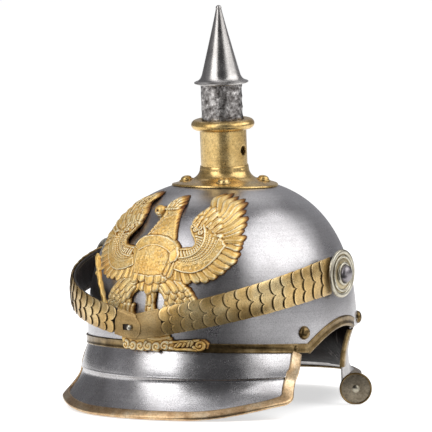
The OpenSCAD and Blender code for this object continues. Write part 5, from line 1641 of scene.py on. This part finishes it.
wire([(21.4, 144.2), (23.9, 138.6), (22.6, 134.4)], 0.6, 3.9, 0.6)
field([(-8.4, 152.2), (-6.6, 156.5), (-3.8, 161), (-2.2, 165), (-1.2, 172), (8.4, 172.6), (10.0, 168),
       (12.2, 162), (14.4, 156), (16.4, 151), (17, 148.6), (11.1, 151.6), (3.2, 153), (-5.9, 152.7)], 2.4,
      1.2, 6, frost=0.14)
for x, z in ((-8.6, 153.6), (-7.2, 156.4), (-5.6, 159.2), (-4.2, 162), (-3, 164.6)):
    feather([(x + 4.5, z + 3.2), (x + 2, z + 1.4), (x + 0.4, z - 0.4)], 1.4, 2.2, 0.8, 0.3, notch=0.3)

# Head: the seat of the round beak, a beaded band and leaves for the crown
ball = (-8.9, 168.9)
seatEdge = [(ball[0] + 3.4 * math.cos(k * math.pi / 8),
             ball[1] + 3 * math.sin(k * math.pi / 8)) for k in range(16)]
field(seatEdge, 1.6, 0.8, 2)
field([(-2.2, 166), (1, 165), (1, 173.6), (-2.4, 173)], 3.0, 1.0, 2.5)
leaves = [((-1.4, 171.8), (-1.8, 174.2), (-1.8, 175.6), 1.6), ((0, 172.2), (0, 175.2), (0.4, 176.9), 1.7),
          ((1.8, 172.4), (2, 175.4), (2.2, 177.2), 1.7), ((3.4, 172.4), (3.8, 175.2), (4, 177), 1.7),
          ((5, 172.4), (5.6, 174.2), (5.6, 175.4), 1.6), ((6.2, 172), (7, 172.8), (7.6, 173.4), 1.5)]
feathers(leaves, list, 2.4, 1.2, 0.3, rib=0.3, notch=0.5)
for a, b, c, half in leaves[::2]:
    path = [(a[0], a[1] - 0.6), ((a[0] + b[0]) / 2, a[1] + 0.8), b]
    feather(path, 1.4, 3.0, 1.1, 0.3, rib=0.3, notch=0.5)
wire([(-3.4, 171), (1, 171.6), (7.4, 171.8)], 1.0, 3.2, 0.8)
for i in range(6):
    x, z = -3 + 2 * i, 171 + 0.15 * i
    wire([(x, z), (x + 0.05, z)], 0.95, 3.6, 1.0)
cutOut([(-6.8, 100.5), (-6.2, 104.9), (-3.5, 108.4), (-0.9, 107.6), (0.1, 104.8), (0.2, 100.9), (0.3, 97),
        (-0.6, 93.4), (-3.6, 92.2), (-6.2, 94.8)])
cutOut([(9.8, 107.6), (13.2, 107.4), (16, 104.4), (15.8, 99.9), (14.9, 95.2), (12.3, 93.6), (10.2, 96.4),
        (9.6, 100.5)])
cutOut([(21.4, 79), (23.4, 74.4), (28.6, 74), (31, 77), (29, 80.6), (23.6, 81.6)])
print("eagle drawn")


def beside(values):
    return [np.roll(values, way, axis) for axis in (0, 1) for way in (1, -1)]


grain = np.random.default_rng(7).normal(0, 1, gridX.shape)
grain = (grain + np.roll(grain, 1, 0) + np.roll(grain, 1, 1)) / 3
high = high + eagle["grain"] * grain
blurred, around = high * (cover > 0), 1.0 * (cover > 0)
for _ in range(eagle["blur"]):
    blurred, around = (sum((a, *beside(a))) / 5 for a in (blurred, around))
raised = high - blurred / np.maximum(around, 0.1)  # above what lies around it
# Painted light: hollows darkened as shade, and raised places and the plate's outline lightened as highlights
edges = np.clip(0.5 + 1.4 * raised + 0.3 * (1 - around), eagle["darkest"], 1)
edges = edges - 0.22 * ((gridX > 26) & (gridZ < 74))  # painted shadow: the scroll's side under the strap is darkened
inner, rim = cover > 0, np.zeros(gridX.shape)
for _ in range(eagle["rimSteps"]):
    rim += inner
    inner = np.logical_and.reduce([inner, *beside(inner)])
for _ in range(2):
    rim = sum((2 * rim, *beside(rim))) / 6
# The sheet's edge turns down to the shell
rim = np.sqrt(1 - (1 - np.clip(rim / eagle["rimSteps"], 0, 1)) ** 2)
slopeX, slopeZ = np.gradient(cover, eagle["step"])
steep = np.maximum(0.3, np.hypot(slopeX, slopeZ)) ** 2
move = np.where(cover < 0, np.clip(-cover, 0, 1), 0)
snapX, snapZ = gridX + move * slopeX / steep, gridZ + move * slopeZ / steep


def eagleFace(x, z, up):
    foot = eagle["standOff"] * smooth((eagle["footZ"] - z) / 6)
    return frontAt(x, z, foot + up)


bm = bmesh.new()
mark = bm.verts.layers.float.new("relief")
place = bm.verts.layers.int.new("place")
cols, rows = len(gridXs) - 1, len(gridZs) - 1
outside = []
for v in bmesh.ops.create_grid(bm, x_segments=cols, y_segments=rows, size=0.5)["verts"]:
    i, j = round((v.co.x + 0.5) * cols), round((v.co.y + 0.5) * rows)
    v[place], v[mark] = i * 1000 + j, edges[i, j]
    if cover[i, j] < -0.75 * eagle["step"]:
        outside.append(v)
bmesh.ops.delete(bm, geom=outside, context="VERTS")
bmesh.ops.delete(bm, geom=[v for v in bm.verts if not v.link_faces], context="VERTS")
rear = bmesh.ops.extrude_face_region(bm, geom=bm.faces[:], use_keep_orig=True)["geom"]
rear = {v for v in rear if isinstance(v, bmesh.types.BMVert)}
skin = eagle["back"] + eagle["sheet"]
for v in bm.verts:
    i, j = divmod(v[place], 1000)
    # The back is painted near black, so the side walls darken towards the shell as painted shadow
    v[mark] = 0 if v in rear else v[mark]
    up = eagle["back"] if v in rear else skin + (eagle["base"] - skin + high[i, j]) * rim[i, j]
    v.co = world3(eagleFace(snapX[i, j], snapZ[i, j], up))

# The beak: a round knob with a hole at its side
beak = dict(radius=0.0047, up=2.6, hole=(-0.2, -0.95, 0.14), holeTurn=17, holeDeep=0.76,
            lip=(-0.07, -0.8, -0.6))
knob = world3(eagleFace(*ball, beak["up"]))
hole, lip = Vector(beak["hole"]).normalized(), Vector(beak["lip"]).normalized()
ballAt = Matrix.Translation(knob)
for v in bmesh.ops.create_uvsphere(bm, u_segments=32, v_segments=20, radius=beak["radius"],
                                   matrix=ballAt)["verts"]:
    out = (v.co - knob).normalized()
    inHole = math.degrees(out.angle(hole)) < beak["holeTurn"]
    # The hole is painted near black as shade, with a painted highlight round its lower lip
    v[mark] = 0 if inHole else 0.52 + 0.4 * smooth(1.5 - math.degrees(out.angle(lip)) / 30)
    v.co = knob + (v.co - knob) * (beak["holeDeep"] if inHole else 1.0)
finished(bm, "eagle_relief", "helmet_shell", "gilt", ["eagle_plate"], sharp=80, merge=False)

# Rod in the claw: ragged, with a small cross-piece near its head
rod = dict(foot=(-37, 89.5, 4.9), head=(-57.6, 134.6, 9.3), thick=2.2, cross=0.72, crossHalf=5,
           crossThick=1.5, crossBow=1.2, topCross=0.93, topHalf=3, topThick=1.2)


def rodPoint(t):
    return frontAt(*between(rod["foot"], rod["head"], t))


def tubeAlong(bm, centre, size, steps, sides=14):
    def at(x, y):
        t = round(x * steps) / steps
        along = (centre(min(1, t + 0.01)) - centre(max(0, t - 0.01))).normalized()
        a = along.orthogonal().normalized()
        turn = 2 * math.pi * (round(y * sides) % sides) / sides
        return centre(t) + (a * math.cos(turn) + along.cross(a) * math.sin(turn)) * size(t, turn)
    gridOn(bm, steps, sides, at)
    endCaps(bm)


def rodSize(t, a):
    ragged = 0.1 * math.sin(t * 40) * math.cos(a * 2) + 0.08 * math.cos(a * 3 + t * 17)
    ends = (0.5 + 0.5 * smooth(t * 20)) * (0.45 + 0.55 * smooth((1 - t) * 14))
    return rod["thick"] * (0.9 + ragged + 0.2 * smooth(t * 3 - 2)) * ends


def crossPoint(t):
    return middle + across * (t - 0.5) * 2 * rod["crossHalf"] + lean * rod["crossBow"] * math.sin(t * math.pi)


def topPoint(t):
    return rodPoint(rod["topCross"]) + across * (t - 0.5) * 2 * rod["topHalf"]


bm = bmesh.new()
mark = bm.verts.layers.float.new("relief")
tubeAlong(bm, rodPoint, rodSize, 90)
middle = rodPoint(rod["cross"])
lean = (rodPoint(rod["cross"] + 0.1) - rodPoint(rod["cross"] - 0.1)).normalized()
across = lean.cross(Vector((middle.x, middle.y - h["midY"], 0)).normalized()).normalized()
tubeAlong(bm, crossPoint, lambda t, a: rod["crossThick"] * (0.72 + 0.3 * abs(math.sin(t * 9.4))), 30)
tubeAlong(bm, topPoint, lambda t, a: rod["topThick"] + 0.3 * math.sin(t * 6.28), 16)
for v in bm.verts:
    v[mark] = 0.5
finished(bm, "eagle_sceptre", "helmet_shell", "gilt", ["eagle_rod"], sharp=50)
print("eagle")

# Fastenings that keep their CAD shape
carried = dict(base_nuts="pale", eagle_nuts="pale", eagle_posts="band", pivot_nut_left="pale",
               pivot_nut_right="pale", strap_lug_left="worn", strap_lug_right="worn", spike_spring="worn")
for obj in bpy.data.objects:
    mat = carried.get(obj.name.split(".")[0])
    if obj.type == "MESH" and mat:
        for holder in obj.material_slots:
            holder.material = mats[mat]
print("carried-over nodes")
